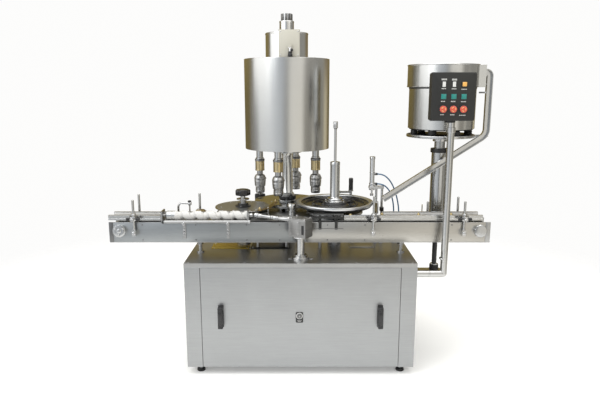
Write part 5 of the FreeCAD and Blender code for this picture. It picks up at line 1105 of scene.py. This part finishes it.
def make_panel_trim():
    """Bezels, printed bars, lamp and keys on the panel's face, and the post's fittings."""
    left, right, bottom, top = 671, 897, 1394, 1638
    face = -390.0
    shell = Piece("panel_shell", "panel", "black_paint", face_black, black, print_white, orange, chrome,
                  switch_white)
    shell.slab(arc(left + 14, bottom + 14, 14, 180, 270, 6) + arc(right - 14, bottom + 14, 14, 270, 360, 6)
               + arc(right - 14, top - 14, 14, 0, 90, 6) + arc(left + 14, top - 14, 14, 90, 180, 6),
               face - 2.6, face + 0.5, 1.1, 0, "XZ")
    shell.block((left - 1, face + 12, bottom - 1), (right + 1, face + 14, top + 1), 0.6, 1)
    front = face - 2.6
    for x in KEY_COLUMNS:
        for row, (z, half) in enumerate(((LAMP_ROW, 13), (KEY_ROW, 15.5), (STOP_ROW, 20))):
            if row == 2:
                shell.turned([(half - 4, 0), (half, 0), (half + 1.4, 1), (half + 1.4, 2.2), (half - 1, 3.4),
                              (half - 4, 3.6)], (x, front, z), "Y", 48, 1)
            else:
                shell.block((x - half, front - 1.6, z - half), (x + half, front + 0.2, z + half), 1.0, 1)
    # printed bars in place of the lettering
    for x, z, wide, high_bar in ((732, 1603, 28, 8), (784, 1602, 26, 9), (732, 1557, 24, 5),
                                 (784, 1556, 25, 5), (836, 1554, 28, 4.5), (731, 1493, 22, 5),
                                 (783, 1492.6, 24, 5.4), (836, 1491.6, 27, 4.6), (729, 1425.6, 20, 4.6),
                                 (782, 1425, 24, 5), (834, 1422.6, 34, 4.4)):
        pieces = 4 if wide > 24 else 3
        step = wide / pieces
        for index in range(pieces):
            start = x - wide / 2 + index * step
            shell.block((start, front - 0.3, z - high_bar / 2),
                        (start + step * 0.82, front + 0.1, z + high_bar / 2), 0.1, 2)
    lamp = KEY_COLUMNS[2]
    shell.block((lamp - 11, front - 8, LAMP_ROW - 11), (lamp + 11, front + 0.1, LAMP_ROW + 11), 2.2, 3,
                segments=3)
    for spot_x in (left + 9, right - 9):
        for spot_z in (bottom + 9, top - 9):
            shell.screw((spot_x, front + 0.1, spot_z), "Y", 3.0, 1)
    shell.block((left + 20, -330.2, bottom + 20), (right - 20, -328, top - 20), 1.4, 1)
    for spot_x in (left + 30, right - 30):
        for spot_z in (bottom + 30, top - 30):
            shell.screw((spot_x, -328.1, spot_z), BACKWARD, 4, 4, kind="pan")
    shell.turned([(19.2, 0), (27, 0), (28, -1.4), (28, -9), (26, -11), (19.2, -12)],
                 (784, -345, bottom - 0.2), "Z", 40, 1)
    shell.done()
    for index, x in enumerate(KEY_COLUMNS, start=1):
        key = Piece(f"key_face_{index}", f"push_button_{index}", "teal_plastic", teal, print_white)
        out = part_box(f"push_button_{index}")[0].y / MM
        key.block((x - 11.4, out - 0.9, KEY_ROW - 11.4), (x + 11.4, out + 0.4, KEY_ROW + 11.4), 0.8)
        key.done()
        stop = Piece(f"stop_face_{index}", f"stop_button_{index}", "red_plastic", red, label_yellow)
        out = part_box(f"stop_button_{index}")[0].y / MM
        stop.turned([(0, 0.6), (17.3, 0.6), (17.0, 1.6), (13.0, 3.0), (6, 3.9), (0, 4.1)],
                    (x, out + 0.6, STOP_ROW), "Y", 56)
        for turn in range(3):
            start = 95 + 120 * turn
            ring = arc(x, STOP_ROW, 11.4, start, start + 62, 8) + arc(x, STOP_ROW, 8.4, start + 62, start, 8)
            stop.slab(ring, out - 3.0, out - 2.2, 0.15, 1, "XZ")
        stop.done()
    post = Piece("post_fittings", "machine_base", "chrome", chrome, bright)
    post.turned([(19.2, -1), (29, -1), (30, 0.2), (30, 6), (28, 8), (19.2, 9)], (625.4, -345, 552), "X", 48)
    for spot_y, z in ring_of(4, 24.5, -345, 552, 0.785):
        post.screw((633.4, spot_y, z), "X", 3.0)
    for place, way in (((784, -345, 640), "Z"), ((712, -345, 552), "X")):
        post.turned([(19.05, -4), (19.9, -2), (19.9, 2), (19.05, 4)], place, way, 48, 1)
    post.turned([(19.1, 0), (23, 0), (24, 1.2), (24, 26), (23, 27.4), (19.1, 28)], (792, -345, 1330))
    post.done()


# ---- worktop and cabinet inside ----

def make_worktop_trim():
    """Plates and screws on the worktop, the hoses' glands, and the motor's fins and fan cover."""
    top = Piece("worktop_trim", "machine_base", "dark_stainless", amber_painted_reflection_sheet, dark_steel, chrome, plate,
                black)
    # the polished cover by the infeed star, with its reflection of the brown room painted into its amber
    # colour
    top.block((-520, -172, WORKTOP + 0.1), (-300, -60, 646.6), 1.2)
    for x in (-508, -312):
        for y in (-160, -72):
            top.screw((x, y, 646.6), "Z", 4, 2, kind="pan")
    top.block((290, -150, WORKTOP + 0.1), (430, -60, 646), 1.2, 3)
    top.block((-290, -168, WORKTOP + 0.1), (-60, -50, 647.4), 1.2, 4)
    for x in (-278, -72):
        top.screw((x, -160, 647.4), "Z", 4, 2, kind="pan")
    for x in (-600, -300, 0, 300, 600):
        for y in (-436, 436):
            top.screw((x, y, WORKTOP), "Z", 4.2, 2, kind="pan")
    for x, y in ((592, -10), (566, -16)):
        top.turned([(8.1, 0), (14, 0), (14, 6), (12, 8), (8.1, 8)], (x, y, WORKTOP + 0.1), "Z", 6, 2)
        top.turned([(8.1, 8), (11, 8.4), (11, 13), (8.1, 14)], (x, y, WORKTOP + 0.1), "Z", 28, 4)
    top.done()
    motor = Piece("motor_details", "machine_base", "grey_paint", grey_paint, dark_steel, chrome, black)
    low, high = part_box("drive_motor")
    x0, x1, y0, y1, z0, z1 = [value / MM for value in (low.x, high.x, low.y, high.y, low.z, high.z)]
    centre_y, centre_z, radius = (y0 + y1) / 2, (z0 + z1) / 2, (y1 - y0) / 2
    radius = min(radius, (z1 - z0) / 2)
    for index in range(9):
        x = x0 + 60 + index * 16
        motor.turned([(radius - 4, 0), (radius + 2, 0.6), (radius + 2, 3.4), (radius - 4, 4)],
                     (x, centre_y, centre_z), "X", 72)
    motor.turned([(radius - 6, 0), (radius + 1, 1), (radius + 1, 22), (radius - 8, 27), (20, 28), (0, 28)],
                 (x1 - 24, centre_y, centre_z), "X", 72, 1)
    motor.done()


make_turret_trim()
make_heads()
make_drum_trim()
make_star_trim()
make_dial()
make_cylinder_trim()
make_feeder_trim()
make_panel_trim()
make_worktop_trim()


# ---- floor and light ----

def make_floor():
    """A pale round floor that thins out to nothing away from the machine."""
    mesh = bpy.data.meshes.new("floor")
    shape = bmesh.new()
    bmesh.ops.create_circle(shape, cap_ends=True, radius=6, segments=96)
    shape.to_mesh(mesh)
    shape.free()
    floor = bpy.data.objects.new("floor", mesh)
    bpy.context.scene.collection.objects.link(floor)
    material = bpy.data.materials.new("pale_floor")
    material.use_nodes = True
    shader = material.node_tree.nodes["Principled BSDF"]
    shader.inputs["Base Color"].default_value = (0.9, 0.9, 0.89, 1)
    shader.inputs["Roughness"].default_value = 0.8
    shader.inputs["Emission Color"].default_value = (1, 1, 0.99, 1)
    shader.inputs["Emission Strength"].default_value = 0.18
    web = Nodes(material.node_tree)
    reach = web.node("ShaderNodeVectorMath", operation="LENGTH")
    web.join(web.node("ShaderNodeTexCoord").outputs["Object"], reach.inputs[0])
    fade = web.scaled(reach.outputs["Value"], 1.6, 3.4, "From", interpolation_type="SMOOTHSTEP")
    clear = web.node("ShaderNodeBsdfTransparent").outputs[0]
    mix = web.node("ShaderNodeMixShader")
    for source, socket in zip((fade, shader.outputs[0], clear), mix.inputs):
        web.join(source, socket)
    web.join(mix.outputs[0], material.node_tree.nodes["Material Output"].inputs["Surface"])
    mesh.materials.append(material)


def make_world():
    """A white studio, with softly lit and darker walls round the machine for the metal to reflect."""
    world = bpy.data.worlds.new("studio")
    world.use_nodes = True
    bpy.context.scene.world = world
    world.node_tree.nodes.clear()
    web = Nodes(world.node_tree)
    join, node, scaled, mixed = web.join, web.node, web.scaled, web.mixed
    parts = node("ShaderNodeSeparateXYZ")
    join(node("ShaderNodeTexCoord").outputs["Generated"], parts.inputs[0])
    ahead = node("ShaderNodeMath", operation="MULTIPLY")
    ahead.inputs[1].default_value = -1
    join(parts.outputs["Y"], ahead.inputs[0])
    angle = node("ShaderNodeMath", operation="ARCTAN2")
    join(parts.outputs["X"], angle.inputs[0])
    join(ahead.outputs[0], angle.inputs[1])
    turn = scaled(angle.outputs[0], -math.pi, math.pi, "From")
    up = parts.outputs["Z"]

    def around(bands):
        """A wall colour that follows the angle round the machine."""
        walls = node("ShaderNodeValToRGB")
        walls.color_ramp.interpolation = "EASE"
        stops = walls.color_ramp.elements
        while len(stops) < len(bands):
            stops.new(0.5)
        for stop, (degrees, *_) in zip(stops, bands):
            stop.position = (degrees + 180) / 360
        for stop, (_, *colour) in zip(stops, bands):
            stop.color = (*colour, 1)
        join(turn, walls.inputs[0])
        return walls.outputs[0]

    # degrees round from the operator's side, clockwise seen from above, and the wall's colour there
    level = around([(-180, 0.20, 0.150, 0.050), (-122, 0.21, 0.165, 0.070), (-110, 0.30, 0.28, 0.25),
                    (-88, 0.36, 0.36, 0.35), (-76, 0.88, 0.90, 0.91), (-44, 0.86, 0.89, 0.92),
                    (-14, 0.68, 0.71, 0.74), (-3, 0.42, 0.42, 0.41), (3, 0.48, 0.47, 0.44),
                    (9, 1.02, 0.99, 0.92), (40, 1.05, 1.01, 0.92), (50, 0.36, 0.34, 0.29),
                    (68, 0.34, 0.32, 0.28), (75, 0.78, 0.75, 0.66), (82, 0.34, 0.33, 0.30),
                    (114, 0.36, 0.34, 0.29), (124, 0.80, 0.72, 0.52), (134, 0.72, 0.62, 0.42),
                    (146, 0.18, 0.14, 0.06), (180, 0.20, 0.150, 0.050)])
    upper = around([(-180, 0.30, 0.23, 0.08), (-112, 0.32, 0.25, 0.10), (-102, 0.42, 0.40, 0.36),
                    (-92, 2.1, 2.1, 2.1), (-50, 2.1, 2.1, 2.1), (-34, 0.86, 0.90, 0.96),
                    (-8, 0.62, 0.66, 0.72), (4, 0.60, 0.60, 0.58), (14, 1.0, 0.98, 0.93),
                    (44, 0.95, 0.93, 0.88), (56, 0.38, 0.37, 0.35), (110, 0.42, 0.41, 0.38),
                    (130, 0.26, 0.20, 0.12), (180, 0.30, 0.23, 0.08)])
    walls = mixed(scaled(up, 0.0, 0.035, "From"), level, upper)
    ceiling = mixed(scaled(up, 0.42, 0.85, "From"), walls, (1.0, 1.0, 0.98, 1))
    ground = mixed(scaled(up, -0.35, -0.75, "From"), ceiling, (0.8, 0.8, 0.79, 1))
    light = node("ShaderNodeBackground", Strength=0.95)
    join(ground, light.inputs["Color"])
    white = node("ShaderNodeBackground", Color=(0.98, 0.978, 0.97, 1)).outputs[0]
    seen = node("ShaderNodeLightPath").outputs["Is Camera Ray"]
    both = node("ShaderNodeMixShader")
    for source, socket in zip((seen, light.outputs[0], white), both.inputs):
        join(source, socket)
    join(both.outputs[0], node("ShaderNodeOutputWorld").inputs["Surface"])


def make_light(name, place, aim, size, power, colour=(1, 1, 1)):
    """A rectangular light that points at a place."""
    data = bpy.data.lights.new(name, "AREA")
    data.shape = "RECTANGLE"
    data.size, data.size_y = size
    data.energy = power
    data.color = colour
    lamp = bpy.data.objects.new(name, data)
    lamp.location = place
    lamp.rotation_euler = (Vector(aim) - Vector(place)).to_track_quat("-Z", "Y").to_euler()
    bpy.context.scene.collection.objects.link(lamp)


make_floor()
make_world()
make_light("overhead", (0, -0.4, 4.6), (0, 0, 0), (4.5, 4.0), 130)
make_light("left_front", (-2.6, -3.0, 3.2), (0, 0, 0.9), (2.2, 2.4), 40, (0.95, 0.98, 1))
make_light("right_front", (3.0, -2.6, 3.4), (0, 0, 0.7), (2.6, 2.4), 18, (1, 0.97, 0.92))
bpy.context.scene.view_settings.view_transform = "Standard"
bpy.context.scene.view_settings.look = "None"
